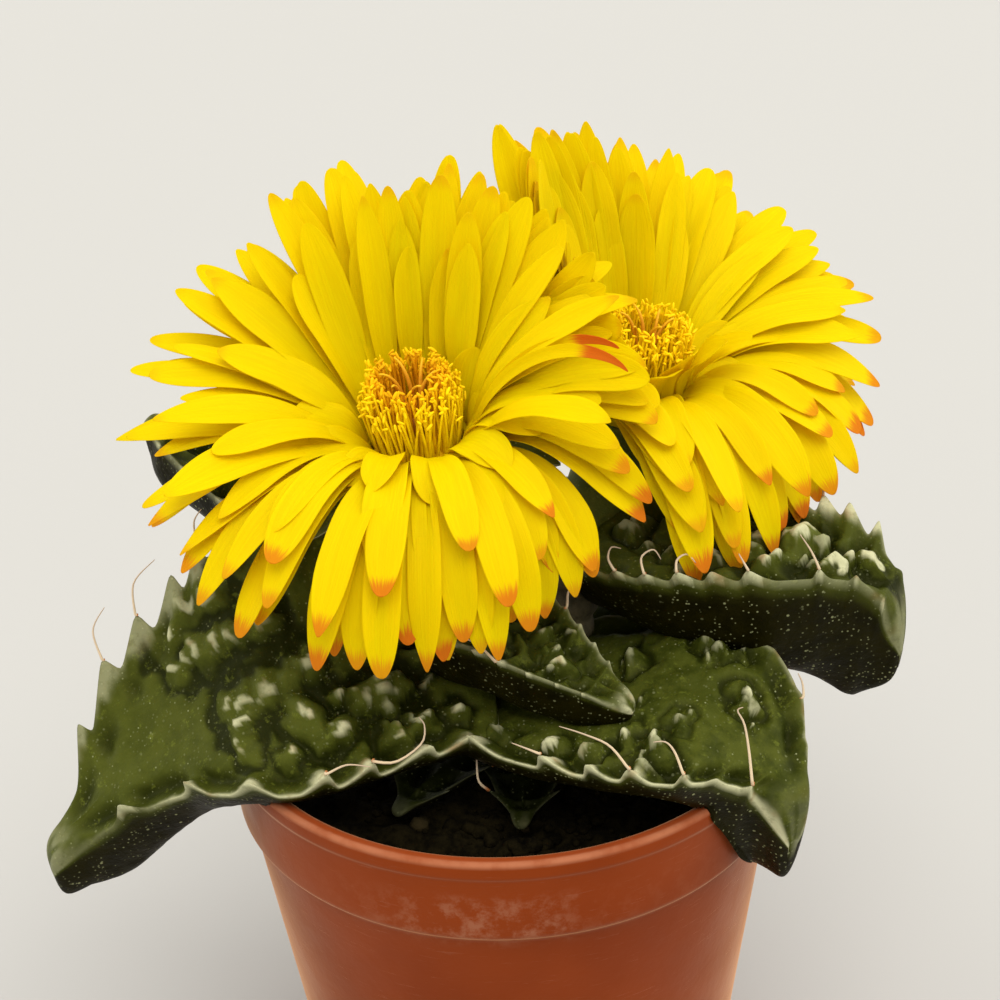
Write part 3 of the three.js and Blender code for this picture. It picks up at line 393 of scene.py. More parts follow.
ANTHER = {"places": [-0.42, -0.26, 0, 0.26, 0.42], "radii": [0.06, 0.12, 0.14, 0.12, 0.06], "stray": 2.2}
OVARY = [[0.01, 0.35], [1.75, 0.35], [1.75, 3.5], [1.4, 4.2], [0.8, 4.65], [0.01, 4.8]]
STYLES = {"count": 6, "tall": 8.4, "stray": 0.9, "thick": 0.3, "thin": 0.1}

# The stalk and cup under a flower as [share of its length, radius], and a sepal as [distance from the
# axis, height, half width, thickness] from its root to its tip.
STALK = [[0, 2.6], [0.3, 2.7], [0.55, 3.6], [0.75, 5.2], [0.9, 5.9], [1, 5.7]]
SEPAL = [[3.8, -2.4, 2.6, 1.8], [7.2, -1.7, 2.7, 1.6], [10, -1.9, 1.9, 1.2], [12.4, -2.9, 0.7, 0.6],
         [13, -3.2, 0.15, 0.2]]

# Colours, linear. The greens are a leaf's lit face, its dark green and its underside: the dark green is
# partly
# mottling and partly painted shade, and the underside is darkened as painted shade for the flanks.
GREENS = {
    "leaf_green": ((0.064, 0.074, 0.009), (0.018, 0.025, 0.0018), (0.0098, 0.0082, 0.0005)),
    # shaded_low_leaf_green: a darker copy of the leaf green, painted shade for the small leaves low down.
    "shaded_low_leaf_green": ((0.012, 0.015, 0.002), (0.005, 0.007, 0.001), (0.006, 0.005, 0.0008)),
    "sepal_green": ((0.11, 0.13, 0.025), (0.055, 0.07, 0.01), (0.06, 0.06, 0.015)),
}
TINTS = {
    "dot": (0.42, 0.44, 0.22), "horn": (0.56, 0.55, 0.33), "rust": (0.32, 0.18, 0.07),
    "wax": (1.0, 0.95, 0.5), "petal": (0.9, 0.735, 0.0), "petal_vein": (0.94, 0.8, 0.0),
    # petal_root_shade is a deeper gold, painted shade at the petals' roots.
    "petal_deep": (0.93, 0.71, 0.0), "petal_root_shade": (0.86, 0.58, 0.0), "petal_back": (0.86, 0.42, 0.002),
    "petal_tip": (0.78, 0.2, 0.012), "gold_inner": (0.8, 0.34, 0.003), "gold_anther": (0.97, 0.66, 0.004),
    "gold_spot": (0.6, 0.25, 0.005), "amber_spot": (0.42, 0.13, 0.005), "bark": (0.05, 0.04, 0.015),
    "bark_light": (0.16, 0.13, 0.06), "brick": (0.19, 0.026, 0.0023), "brick_light": (0.24, 0.037, 0.0045),
    # lip is a paler brick for a painted highlight along the pot's rim.
    "lip": (0.5, 0.21, 0.11), "chalk": (0.5, 0.27, 0.17), "scuff": (0.55, 0.28, 0.18),
    # soil and soil_grain are near black: the soil's own dark colour, darkened further as painted shade.
    "glint": (1.0, 0.6, 0.35), "sheen": (1.0, 0.58, 0.3), "soil": (0.002, 0.0015, 0.0005),
    "soil_grain": (0.012, 0.009, 0.003), "crumb": (0.05, 0.036, 0.014), "floor": (0.466, 0.461, 0.44),
    "floor_light": (0.486, 0.481, 0.46), "room": (1.0, 0.975, 0.93, 1),
}
# Colours from one end of a part to the other: a bristle, a stamen and a style.
HAIR = [
    (0.0, (0.5, 0.46, 0.26)), (0.1, (0.42, 0.13, 0.03)),
    (0.28, (0.66, 0.52, 0.34)), (1.0, (0.5, 0.38, 0.27)),
]
GOLD = [(0.0, (0.95, 0.66, 0.0)), (0.5, (1.0, 0.78, 0.0)), (1.0, (1.0, 0.76, 0.002))]
AMBER = [(0.0, (0.45, 0.16, 0.005)), (0.6, (0.74, 0.32, 0.01)), (1.0, (0.85, 0.5, 0.01))]

# The room: how bright it is all round, and its lamps, each with the way it shines, its spread in
# degrees, its power and its tint. The floor reaches this far each way, in metres.
ROOM_LIGHT = 0.79
LAMPS = {
    "key": ((-0.1, 0.45, -1.0), 44, 1.92, (1.0, 0.98, 0.95)),
    "side_right": ((-0.95, -0.2, -0.6), 60, 1.25, (1.0, 0.99, 0.96)),
    "side_left": ((0.95, -0.2, -0.6), 60, 0.85, (1.0, 0.99, 0.96)),
}
FLOOR_REACH = 3.0

# The photograph's camera: where it stands in metres, where it looks, its lens and its frame's ways
# right and up.
VIEW_FROM = (0, -0.19179, 0.17695)
VIEW_AHEAD = (0.0014, 0.8761, -0.4821)
VIEW_RIGHT, VIEW_UP = np.array([0.9988, -0.0251, -0.0428]), np.array([0.0496, 0.4815, 0.8751])
LENS_MM, SENSOR_MM = 84.31, 36.0


def draw(seed, i):
    """A repeatable number from 0 to 1 for item i of a seed."""
    x = math.sin(seed * 127.1 + i * 311.7) * 43758.5453
    return x - math.floor(x)


def unit(vectors):
    """Vectors at unit length, along the last axis."""
    vectors = np.asarray(vectors, float)
    return vectors / np.linalg.norm(vectors, axis=-1, keepdims=True)


def smoothstep(x, low, high):
    t = np.clip((np.asarray(x, float) - low) / (high - low), 0, 1)
    return t * t * (3 - 2 * t)


def turned(vectors, axis, degrees):
    """Vectors turned about an axis at unit length."""
    angle = np.radians(np.asarray(degrees, float))[..., None]
    along = axis * np.sum(vectors * axis, -1, keepdims=True)
    return vectors * np.cos(angle) + np.cross(axis, vectors) * np.sin(angle) + along * (1 - np.cos(angle))


def rough(points, scale, seed):
    """Smooth noise from -1 to 1 at points in millimetres, with bumps about scale apart."""
    offset = Vector((seed * 3.7, seed * 1.3, seed * 7.1))
    flat = points.reshape(-1, 3)
    return np.array([noise.noise(Vector(p) / scale + offset) for p in flat]).reshape(points.shape[:-1])


def spread(ways, amounts):
    """Steps along each row's own way, by amounts for its columns."""
    return ways[:, None] * amounts[..., None]


def round_turns(sides):
    return np.arange(sides) * 2 * np.pi / sides


def circle(radius, turn, height=0.0):
    """A point, or a ring of points, at a radius and a turn about Z."""
    return np.stack([radius * np.cos(turn), radius * np.sin(turn), height + 0 * turn], -1)


def dense_at_ends(count):
    """Even places from -1 to 1, drawn together towards both ends."""
    return np.sin(np.linspace(-1, 1, count) * np.pi / 2)


class Shape:
    """The closed bodies of one piece: points in millimetres, faces, and named values at each point."""

    def __init__(self):
        self.points, self.faces, self.values = [], [], {}
        self.count = 0

    def add(self, points, faces, **values):
        """Adds one closed body, with its faces turned outwards."""
        points = np.asarray(points, float)
        if enclosed(points, faces) < 0:
            faces = [face[::-1] for face in faces]
        self.points.append(points)
        self.faces.extend([tuple(int(i) + self.count for i in face) for face in faces])
        for name, value in values.items():
            filled = np.broadcast_to(np.asarray(value, float), (len(points),))
            self.values.setdefault(name, []).append(filled)
        self.count += len(points)

    def mesh(self, name):
        """The bodies as one smooth mesh in metres, with the values as attributes."""
        mesh = bpy.data.meshes.new(name)
        mesh.from_pydata((np.concatenate(self.points) * MM).tolist(), [], self.faces)
        for key, parts in self.values.items():
            whole = np.concatenate(parts).astype(np.float32)
            mesh.attributes.new(key, "FLOAT", "POINT").data.foreach_set("value", whole)
        mesh.polygons.foreach_set("use_smooth", np.ones(len(mesh.polygons), bool))
        mesh.update()
        return mesh

    def piece(self, name, nodes, slot, material):
        """The piece as an object that rides on the part and stands for the named nodes."""
        made = added(name, self.mesh(name))
        made.data.materials.append(material)
        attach(made, "root")
        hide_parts(*nodes)
        return made


def added(name, data):
    """A new object in the scene."""
    made = bpy.data.objects.new(name, data)
    bpy.context.scene.collection.objects.link(made)
    return made


def enclosed(points, faces):
    """Six times the volume inside closed faces, negative where they are turned inwards."""
    corners = np.array([(face[0], b, c) for face in faces for b, c in zip(face[1:], face[2:])])
    a, b, c = (points[corners[:, k]] for k in range(3))
    return float(np.sum(a * np.cross(b, c)))


def loft_faces(rings, size, closed_ends=True):
    """Faces round rings of size points each, with a fan over each end."""
    faces = []
    for r in range(rings - 1):
        for i in range(size):
            j = (i + 1) % size
            faces.append((r * size + i, r * size + j, (r + 1) * size + j, (r + 1) * size + i))
    if closed_ends:
        last = (rings - 1) * size
        faces.append(tuple(range(size))[::-1])
        faces.append(tuple(range(last, last + size)))
    return faces


def tube(shape, line, radii, sides, **values):
    """A round tube through the points of a line, with a radius at each."""
    line = np.asarray(line, float)
    ahead = unit(np.gradient(line, axis=0))
    level = np.where(np.abs(ahead[:, 2:3]) > 0.9, [[1.0, 0, 0]], [[0, 0, 1.0]])
    side = unit(np.cross(ahead, level))
    for i in range(1, len(side)):
        kept = side[i - 1] - ahead[i] * (side[i - 1] @ ahead[i])
        side[i] = kept / np.linalg.norm(kept)
    turns = round_turns(sides)[None]
    ring = spread(side, np.cos(turns)) + spread(np.cross(ahead, side), np.sin(turns))
    rings = line[:, None] + np.asarray(radii, float)[:, None, None] * ring
    each = {name: np.repeat(np.broadcast_to(value, (len(line),)), sides) for name, value in values.items()}
    shape.add(rings.reshape(-1, 3), loft_faces(len(line), sides), **each)


def curve(places, at):
    """Points on a smooth line through places: at is a count of even points, or their positions from 0 on."""
    places = np.asarray(places, float)
    last = len(places) - 1
    at = np.linspace(0, last, at) if np.isscalar(at) else at
    i = np.minimum(np.floor(at).astype(int), last - 1)
    t = (at - i)[:, None]
    a, b, c, d = (places[np.clip(i + k, 0, last)] for k in (-1, 0, 1, 2))
    into, out, rise = (c - a) / 2, (d - b) / 2, c - b
    return b + into * t + (3 * rise - 2 * into - out) * t**2 + (into + out - 2 * rise) * t**3


# Leaves


def leaf_section(leaf, s):
    """A leaf's sections at shares s of its length, on a smooth curve through its own sections."""
    rows = np.array(leaf["sections"], float)
    return curve(rows, np.clip(s, 0, 1) * (len(rows) - 1))


def leaf_frame(leaf, s):
    """The upper face at shares s: its middle, ways along, left, up and down, half width and depth."""
    s = np.atleast_1d(np.asarray(s, float))
    here = leaf_section(leaf, s)
    ahead = unit((leaf_section(leaf, s + 0.02) - leaf_section(leaf, s - 0.02))[:, :3])
    level = unit(np.stack([-ahead[:, 1], ahead[:, 0], np.zeros(len(s))], -1))
    left = turned(level, ahead, here[:, 4])
    up = np.cross(ahead, left)
    share = (leaf["drop"] * s)[:, None]
    down = unit(-up * (1 - share) + np.array([0, 0, -1.0]) * share)
    return here[:, :3], ahead, left, up, down, here[:, 3], here[:, 5]


def face_dish(s, v):
    """The shallow dish of the upper face, at shares s of the length and v of the half width."""
    return DISH["depth"] * (v * v - 1) * np.sin(np.pi * np.minimum(1, s * DISH["end"]))


def leaf_point(leaf, s, v):
    """One point of the plain upper face."""
    point, _, left, up, _, half, _ = leaf_frame(leaf, s)
    return point[0] + left[0] * half[0] * v + up[0] * face_dish(s, v)


def tooth_places(leaf):
    """Each tooth's place along the leaf, with its size on the right and on the left edge."""
    if isinstance(leaf["teeth"], list):
        return leaf["teeth"]
    places = []
    for i in range(leaf["teeth"]):
        peak = TOOTH["from"] + (TOOTH["to"] - TOOTH["from"]) * (i + 0.5) / leaf["teeth"]
        half = leaf_section(leaf, np.array([peak]))[0, 3]
        most = min(1, 0.3 + half / TOOTH["full_at"])
        places.append([peak, *[most * (0.7 + 0.35 * draw(leaf["seed"], i * 7 + k)) for k in (0, 1)]])
    return places


def tooth_rise(leaf, s, side):
    """How far the teeth of one edge stand out at shares s: a saw's line, steep towards the leaf's base."""
    edge = 2 if side > 0 else 1
    longest = leaf["slant"][edge - 1]
    peaks = [(place[0], place[edge]) for place in tooth_places(leaf) if place[edge] > 0]
    rise = np.zeros(len(s))
    for i, (peak, size) in enumerate(peaks):
        ahead = peaks[i + 1][0] - peak if i + 1 < len(peaks) else longest
        slant = min(longest, 0.9 * ahead)
        inner = 1 - (peak - s) / TOOTH["steep"]
        outer = (1 - (s - peak) / slant).clip(0) ** TOOTH["curve"]
        rise = np.maximum(rise, size * np.where(s < peak, inner, outer).clip(0))
    return soft_line(rise, [0.06, 0.22, 0.44, 0.22, 0.06]) if len(s) > 9 else rise


def soft_line(values, weights):
    """Values averaged with their neighbours."""
    weights = np.asarray(weights)
    return np.convolve(np.pad(values, len(weights) // 2, mode="edge"), weights, "valid")


def tooth_way(leaf, side):
    """How far a full tooth of one edge stands out, up and back, in millimetres."""
    way = leaf["tooth_way"][1 if side > 0 else 0] if "tooth_way" in leaf else TOOTH["way"]
    return [part * TOOTH["grown"] for part in way]


def bumps(leaf):
    """The bumps of a leaf's upper face: its warts, lines of them that make its ridges, and small ones."""
    seed = leaf["seed"]
    made = []
    for key, (s, v, *own) in enumerate(wart_places(leaf)):
        size = own[0] if own else 0.6 + 0.5 * draw(seed, 600 + key)
        made.append(knob(leaf, s, v, size, 610 + key, 0.9))
    for key, places in enumerate(leaf.get("ridges", [])):
        for step, (s, v) in enumerate(curve(places, 2 * len(places) - 1)):
            size = 0.62 + 0.4 * draw(seed, 630 + key * 10 + step)
            made.append(knob(leaf, s, v, size, 640 + key * 10 + step, 0.6))
    for i in range(leaf["small_bumps"]):
        s = 0.08 + (0.82 - leaf["smooth_tip"]) * draw(seed, 1000 + i)
        v = 1.7 * (draw(seed, 1100 + i) - 0.5)
        made.append(knob(leaf, s, v, 0.25 + 0.4 * draw(seed, 1200 + i), 1300 + i, 0.45))
    return made


def knob(leaf, s, v, size, key, paleness):
    """One bump, longest in a drawn way along the face."""
    seed = leaf["seed"]
    _, ahead, left, *_ = leaf_frame(leaf, s)
    turn = math.pi * draw(seed, key)
    return {
        "middle": leaf_point(leaf, s, v),
        "way": ahead[0] * math.cos(turn) + left[0] * math.sin(turn),
        "stretch": 1 + BUMP["stretch"] * draw(seed, key + 1000),
        "radius": BUMP["radius"] * size,
        "height": BUMP["height"] * size,
        "pale": paleness,
    }


def wart_places(leaf):
    """Places for warts: the leaf's own, or two staggered lines with some drawn shift."""
    if "warts" in leaf:
        return leaf["warts"]
    places = []
    for i in range(leaf["wart_count"]):
        s = 0.18 + 0.6 * (i + 0.5) / leaf["wart_count"]
        side = 1 if i % 2 == 0 else -1
        places.append([s, side * (0.22 + 0.4 * draw(leaf["seed"], 500 + i))])
    return places


def bump_rise(points, bump):
    """How high one bump stands over points of the face, and how deep the dip round it is, up to 1."""
    away = points - bump["middle"]
    along = away @ bump["way"]
    square = np.sum(away * away, -1) - along**2 * (1 - 1 / bump["stretch"] ** 2)
    distance = np.sqrt(square.clip(0)) / bump["radius"]
    top = 0.7 * np.clip(1 - distance**2, 0, 1) ** 1.2 + 0.3 * np.clip(1 - distance / 0.7, 0, 1)
    return top, np.exp(-(((distance - 1.3) / 0.34) ** 2))


def bumpy(leaf, plain):
    """The relief of the upper face in millimetres, how pale it is, its painted shade in the hollows, its
    painted highlight on the bumps' tops, and its grain.
    """
    seed = leaf["seed"]
    warp = np.stack([rough(plain, BUMP["warp_size"], seed + k) for k in range(3)], -1)
    swell = rough(plain, RELIEF["swell_size"], seed + 40)
    fine = rough(plain, RELIEF["fine_size"], seed + 50)
    points = plain + BUMP["warp"] * warp
    tops, moats, pale = (np.zeros(swell.shape) for _ in range(3))
    for bump in bumps(leaf):
        top, moat = bump_rise(points, bump)
        tops = np.maximum(tops, bump["height"] * top)
        moats = np.maximum(moats, BUMP["moat"] * bump["height"] * moat)
        horn = smoothstep(top + 0.5 * fine, leaf["pale_from"], leaf["pale_from"] + 0.2)
        pale = np.maximum(pale, bump["pale"] * horn)
    dip = moats * np.clip(1 - tops, 0, 1)
    # Painted shade: the dip round each bump, less where bumps rise, darkens the colour in the hollows.
    low = smoothstep(dip - 0.35 * tops, 0.03, 0.6)
    # Painted highlight: how far up a bump a point is lightens its colour; the same share sets the grain and
    # crust.
    crest = smoothstep(tops, 0.5, 1.9)
    crust = RELIEF["crust"] * crest * rough(plain, RELIEF["crust_size"], seed + 60)
    grain = (RELIEF["grain"] + RELIEF["crest_grain"] * crest) * fine + crust
    relief = tops - dip + RELIEF["swell"] * swell + RELIEF["wave"] * warp[..., 0] + grain
    return relief, pale, low, crest, fine


def clear_of_rim(points):
    """Lifts or pushes out points that would lie in the pot's collar."""
    radius = np.linalg.norm(points[:, :2], axis=1)
    outer, inner = POT["rim"] + GAP, POT["rim"] - POT["lip"] - GAP
    top, low = POT["height"] + GAP, POT["height"] - POT["collar_drop"]
    inside = (radius > inner) & (radius < outer) & (points[:, 2] < top) & (points[:, 2] > low)
    lift = top - points[:, 2]
    out = outer - radius
    raised = inside & (lift <= out)
    pushed = inside & (lift > out)
    points[raised, 2] = top
    points[pushed, :2] *= (outer / radius[pushed])[:, None]
    return points


def leaf_surface(leaf):
    """A leaf's closed surface: shares of its length, rings of points there, and values for its paint."""
    along, across, below = SEEN_WELL if "bristles" in leaf else SEEN_LITTLE
    s = 1 - (1 - np.linspace(0, 1, along)) ** 1.35
    t = np.linspace(-1, 1, across)
    v = 0.5 * t + 0.5 * np.sin(t * np.pi / 2)
    angle = np.linspace(0, np.pi, below)[1:-1]
    frame = leaf_frame(leaf, s)
    top, top_values = leaf_top(leaf, s, v, frame)
    flank, flank_values = leaf_flank(leaf, s, angle, frame)
    rings = np.concatenate([top, flank], axis=1)
    values = {name: np.concatenate([top_values[name], flank_values[name]], axis=1) for name in top_values}
    return s, rings, values


def tooth_shift(leaf, s, side, frame):
    """How a leaf's edge is moved by its teeth, at each share s, and the teeth's size there."""
    _, ahead, left, up, _, _, _ = frame
    reach, lift, lean = tooth_way(leaf, side)
    size = tooth_rise(leaf, s, side)
    return (left * side * reach + up * lift - ahead * lean) * size[:, None], size


def leaf_top(leaf, s, v, frame):
    """The upper face: dished, bumpy, with hollows between the teeth."""
    point, _, left, up, _, half, _ = frame
    plain = point[:, None] + spread(left, half[:, None] * v) + spread(up, face_dish(s[:, None], v[None, :]))
    edge = half[:, None] * (1 - np.abs(v))[None, :]
    inner = smoothstep(edge, 0.15, 1.3)
    calm = 1 - 0.6 * smoothstep(s, 0.95 - leaf["smooth_tip"], 1.1 - leaf["smooth_tip"])[:, None]
    rise, pale, low, crest, fine = bumpy(leaf, plain)
    pale = pale * inner
    top = plain + spread(up, rise * calm * inner)
    hollow = low * inner
    for side in (-1, 1):
        near = (v * side > 0)[None, :]
        shift, size = tooth_shift(leaf, s, side, frame)
        rooted = np.clip((np.abs(v) - TOOTH["root"]) / (1 - TOOTH["root"]), 0, 1)[None, :]
        share = rooted ** TOOTH["blend"] * near
        top = top + spread(shift, share)
        horn, teeth = edge_horn(leaf, s, side, edge, size[:, None] * share, fine)
        # Between small teeth the face dips in a notch, which is also darkened as painted shade.
        between = np.clip(1 - size * 1.5, 0, 1) * smoothstep(s, 0.04, 0.12) * (1 - smoothstep(s, 0.8, 0.92))
        off = (edge - TOOTH["notch_from_edge"]) / TOOTH["notch_width"]
        band = between[:, None] * np.exp(-(off**2)) * near * TOOTH["notch"]
        top = top - spread(up, band)
        hollow = np.maximum(hollow, band)
        pale = np.maximum(pale, np.maximum(horn * near, teeth))
    lip = smoothstep(s, 0.86, 1)[:, None] * smoothstep(fine, -0.5, 0.3) * leaf["tip_pale"]
    pale = np.maximum(pale, lip)
    crest = leaf["crest"] * crest * inner
    return top, {"pale": pale, "hollow": hollow, "crest": crest, "under": np.zeros(edge.shape)}


def edge_horn(leaf, s, side, away, tooth, fine):
    """How pale the horny line along one edge is, and the teeth on it."""
    k = 1 if side > 0 else 0
    fade = 1 - leaf["fade"] * smoothstep(s, 0.6, 0.74)[:, None]
    line = np.exp(-((away / (0.22 + 0.14 * fine)) ** 2)) * leaf["edges"][k] * fade
    teeth = smoothstep(tooth + 0.16 * fine, TOOTH["horn_from"], TOOTH["horn_full"]) * leaf["tooth_tips"][k]
    return line, teeth


def leaf_flank(leaf, s, angle, frame):
    """The rounded flanks and keel below the edges, with a chin that curves up to the tip."""
    point, _, left, _, down, half, depth = frame
    chin = 1 - leaf["chin"] * smoothstep(s, 0.82, 1.04) ** 1.5
    power = 0.6 + 0.25 * s[:, None]
    across = np.sign(np.cos(angle)) * np.abs(np.cos(angle)) ** power
    deep = np.sin(angle)[None, :] ** FLANK["fullness"]
    drop = (depth * chin)[:, None] * deep
    flank = point[:, None] + spread(left, half[:, None] * across) + spread(down, drop)
    swell = rough(flank, FLANK["swell_size"], leaf["seed"] + 20)
    fine = rough(flank, RELIEF["fine_size"], leaf["seed"] + 50)
    outward = np.clip(across * 1.4, -1, 1)
    flank = flank + spread(left, (FLANK["swell"] * swell + FLANK["grain"] * fine) * deep * outward)
    pale = np.zeros_like(drop)
    for side in (-1, 1):
        near = np.sign(across) == side
        shift, size = tooth_shift(leaf, s, side, frame)
        share = np.clip(1 - deep / TOOTH["flank"], 0, 1) ** TOOTH["flank_blend"] * near
        flank = flank + spread(shift, share)
        horn, teeth = edge_horn(leaf, s, side, drop, size[:, None] * share**3, fine)
        pale = np.maximum(pale, np.maximum(horn * near, teeth))
    none = np.zeros_like(drop)
    return flank, {"pale": pale, "hollow": none, "crest": none, "under": smoothstep(deep + none, 0.02, 0.2)}


def rounded_end(ring, way, reach):
    """Rings that close the end of a body with a rounded cap."""
    centre = ring.mean(0)
    angles = np.radians([14, 27, 40, 52, 63, 73, 82, 88])
    return np.array([centre + (ring - centre) * math.cos(a) + way * reach * math.sin(a) for a in angles])


def rounded_nose(leaf, s, rings):
    """Rings that draw in over the last part of a leaf and reach a little past it, for a blunt round end."""
    point, ahead, _, _, down, _, depth = leaf_frame(leaf, s)
    centre = point + down * (NOSE["middle"] * depth)[:, None]
    length = np.linalg.norm(np.diff(centre, axis=0), axis=1).sum()
    share = ((s - 1) * length / leaf["nose"] + 1).clip(0, 1)
    kept = np.maximum(0.02, 1 - share ** leaf["power"]) ** (1 / leaf["power"])
    past = ahead * (leaf["reach"] * share)[:, None]
    return (centre + past)[:, None] + (rings - centre[:, None]) * kept[:, None, None]


def softened(rings, amount):
    """Rings whose corners are rounded off, by an amount from 0 to 1 for each."""
    smooth = rings
    for _ in range(NOSE["passes"]):
        smooth = (np.roll(smooth, 3, 1) + smooth + np.roll(smooth, -3, 1)) / 3
    return rings + (smooth - rings) * amount[:, None, None]


def leaf_body(shape, leaf):
    """A leaf's body, with a rounded nose and a rounded foot."""
    s, rings, values = leaf_surface(leaf)
    rings = softened(rings, 0.9 * smoothstep(s, NOSE["soft_from"], NOSE["soft_full"]))
    rings = rounded_nose(leaf, s, rings)
    foot = rounded_end(rings[0], unit(rings[0].mean(0) - rings[3].mean(0)), leaf["base"])[::-1]
    rings = np.concatenate([foot, rings])
    rows = np.clip(np.arange(len(rings)) - len(foot), 0, None)
    points = clear_of_rim(rings.reshape(-1, 3))
    values = {name: value[rows].ravel() for name, value in values.items()}
    shape.add(points, loft_faces(len(rings), rings.shape[1]), **values, bristle=0, mottle=leaf["mottle"])


def tooth_tip(leaf, s, side):
    """The tip of the tooth at share s on one edge, with the ways along, out and up there."""
    point, ahead, left, up, _, half, _ = (a[0] for a in leaf_frame(leaf, s))
    reach, lift, lean = tooth_way(leaf, side)
    size = tooth_rise(leaf, np.array([s]), side)[0]
    out = left * side
    return point + out * half + (out * reach + up * lift - ahead * lean) * size, ahead, out, up


def bristle(shape, corners, count):
    """A soft bristle on a smooth line, reddish at its root and pale beyond."""
    share = np.linspace(0, 1, count)
    radii = BRISTLE["thick"] * (1 - share) ** 0.8 + BRISTLE["tip"]
    tube(shape, curve(corners, count), radii, 6, **PLAIN_GREEN, pale=0, under=0, bristle=0.05 + 0.95 * share)


def leaf_bristles(shape, leaf):
    """Soft bristles on the teeth: the leaf's own where they can be seen, and otherwise drawn ones."""
    for s, side, path in leaf.get("bristles", []):
        root, _, out, up = tooth_tip(leaf, s, side)
        bends = [root + VIEW_RIGHT * right + VIEW_UP * rise for right, rise in path]
        bristle(shape, [root - (out + up) * BRISTLE["sunk"], root, *bends], 18)
    if "bristles" in leaf:
        return
    seed = leaf["seed"]
    for i, (s, *_) in enumerate(tooth_places(leaf)):
        root, ahead, out, up = tooth_tip(leaf, s, -1 if i % 2 == 0 else 1)
        reach = 2.4 + 2.4 * draw(seed, 400 + i)
        stray = [draw(seed, 1400 + i + j * 31) - 0.5 for j in range(4)]
        lean = unit(out * 0.5 + up * 0.8 - ahead * (0.35 + 0.5 * stray[0]))
        curl = unit(out * (-0.15 + 0.5 * stray[1]) + up * 0.6 - ahead * 0.8)
        bent = root + lean * reach * 0.45 + curl * reach * 0.4
        end = bent + unit(curl + out * stray[2] + up * stray[3] * 1.5) * reach * 0.3
        bristle(shape, [root - out * 0.3 - up * 0.25, root + lean * reach * 0.3, bent, end], 14)


def bezier(corners, count):
    """Points on a cubic curve."""
    t = np.linspace(0, 1, count)[:, None]
    a, b, c, d = corners
    return a * (1 - t) ** 3 + 3 * b * t * (1 - t) ** 2 + 3 * c * t**2 * (1 - t) + d * t**3


# Flowers


def bloom_axis(bloom):
    return unit([bloom["lean"][0], bloom["lean"][1], 1.0])


def bloom_turn(bloom):
    """The turn that takes +Z to a flower's axis."""
    return np.array(Vector((0, 0, 1)).rotation_difference(Vector(bloom_axis(bloom))).to_matrix())


def placed(bloom, points):
    """Points of a flower's own frame, whose Z is its axis, on the plant."""
    return np.asarray(points, float) @ bloom_turn(bloom).T + np.array(bloom["heart"], float)


def parting():
    """The upright plane between the flowers: a point on it, and its normal from the first to the second."""
    first, second = (np.array(bloom["heart"], float) for bloom in BLOOMS)
    between = (second - first) * [1, 1, 0]
    return first + between * PARTING["share"], unit(between)


def opening_at(bloom, turn):
    place = (turn % 360) / 45
    i = int(place)
    here, following = (np.array(bloom["opening"][(i + k) % 8], float) for k in (0, 1))
    return here + (following - here) * (place - i)


def petal_spec(bloom, row, index):
    """One petal of a row, with its drawn strays from the rule."""
    rule = PETAL_ROWS[row]
    key = row * 100 + index

    def chance(k):
        return draw(bloom["seed"] + k, key) - 0.5

    start, end = rule["span"]
    turn = start + (index + rule["phase"]) * (end - start) / rule["count"] + chance(1) * STRAY["turn"]
    rise, fall, length = opening_at(bloom, turn)
    facing = math.cos(math.radians(turn))
    return {
        "turn": turn,
        "drift": chance(2) * STRAY["drift"],
        "roll": PETAL["roll"] * facing + chance(3) * STRAY["roll"],
        "rise": min(STEEPEST["rise"], rise + rule["rise"] + chance(4) * STRAY["rise"]),
        "fall": min(STEEPEST["fall"], fall + rule["fall"] + chance(5) * STRAY["fall"]),
        "length": length * rule["length"] * (1 + chance(6) * STRAY["length"]),
        "half": PETAL["half"] * (0.94 + chance(7) * STRAY["half"]),
        "twist": PETAL["twist"] * facing * float(smoothstep(rise, 35, 75)),
        "ring": rule["ring"],
        "height": rule["height"],
        "bend": PETAL["bend"],
        "key": key,
    }


def stray_spec(bloom, index):
    """One of a flower's odd petals."""
    turn, drift, rise, fall, length, bend, burn, width, roll = bloom["strays"][index]
    facing = math.cos(math.radians(turn))
    return {
        "turn": turn, "drift": drift, "rise": rise, "fall": fall, "length": length, "bend": bend,
        "roll": roll + PETAL["roll"] * facing, "twist": 0.5 * PETAL["twist"] * facing,
        "half": PETAL["half"] * width, "ring": ODD["ring"], "height": ODD["height"],
        "burn": burn, "key": ODD["first_key"] + index,
    }


def petal_width(s, point):
    """Half width along a petal: a narrow root, widest past the middle, and a blunt or more pointed tip."""
    tip = np.clip(1 - ((s - 1 + PETAL["tip"]).clip(0) / PETAL["tip"]) ** 2, 0, 1) ** point
    root, end = PETAL["root"], PETAL["end"]
    return (root + (1 - root) * smoothstep(s, 0, PETAL["widest"])) * (end + (1 - end) * tip)


def petal_line(bloom, spec):
    """Points down the middle of a petal, with the ways along, across and up at each."""
    turn = math.radians(spec["turn"])
    start = placed(bloom, circle(spec["ring"], turn, spec["height"]))
    steps = PETAL["steps"]
    s = (np.arange(steps) + 0.5) / steps
    slope = np.radians(spec["rise"] + (spec["fall"] - spec["rise"]) * (1 - (1 - s) ** spec["bend"]))
    step = circle(np.cos(slope), np.radians(spec["turn"] + spec["drift"] * s), np.sin(slope))
    points = np.concatenate([[start], start + np.cumsum(step * spec["length"] / steps, 0)])
    points = kept_apart(bloom, spec, points)
    ahead = unit(np.concatenate([points[1:], points[-1:]]) - np.concatenate([points[:1], points[:-1]]))
    share = np.linspace(0, 1, steps + 1)
    heading = np.radians(spec["turn"] + spec["drift"] * share)
    across = circle(1.0, heading + np.pi / 2)
    across = unit(across - ahead * np.sum(across * ahead, -1, keepdims=True))
    across = turned(across, ahead, spec["roll"] + spec["twist"] * share)
    return points, across, np.cross(ahead, across)


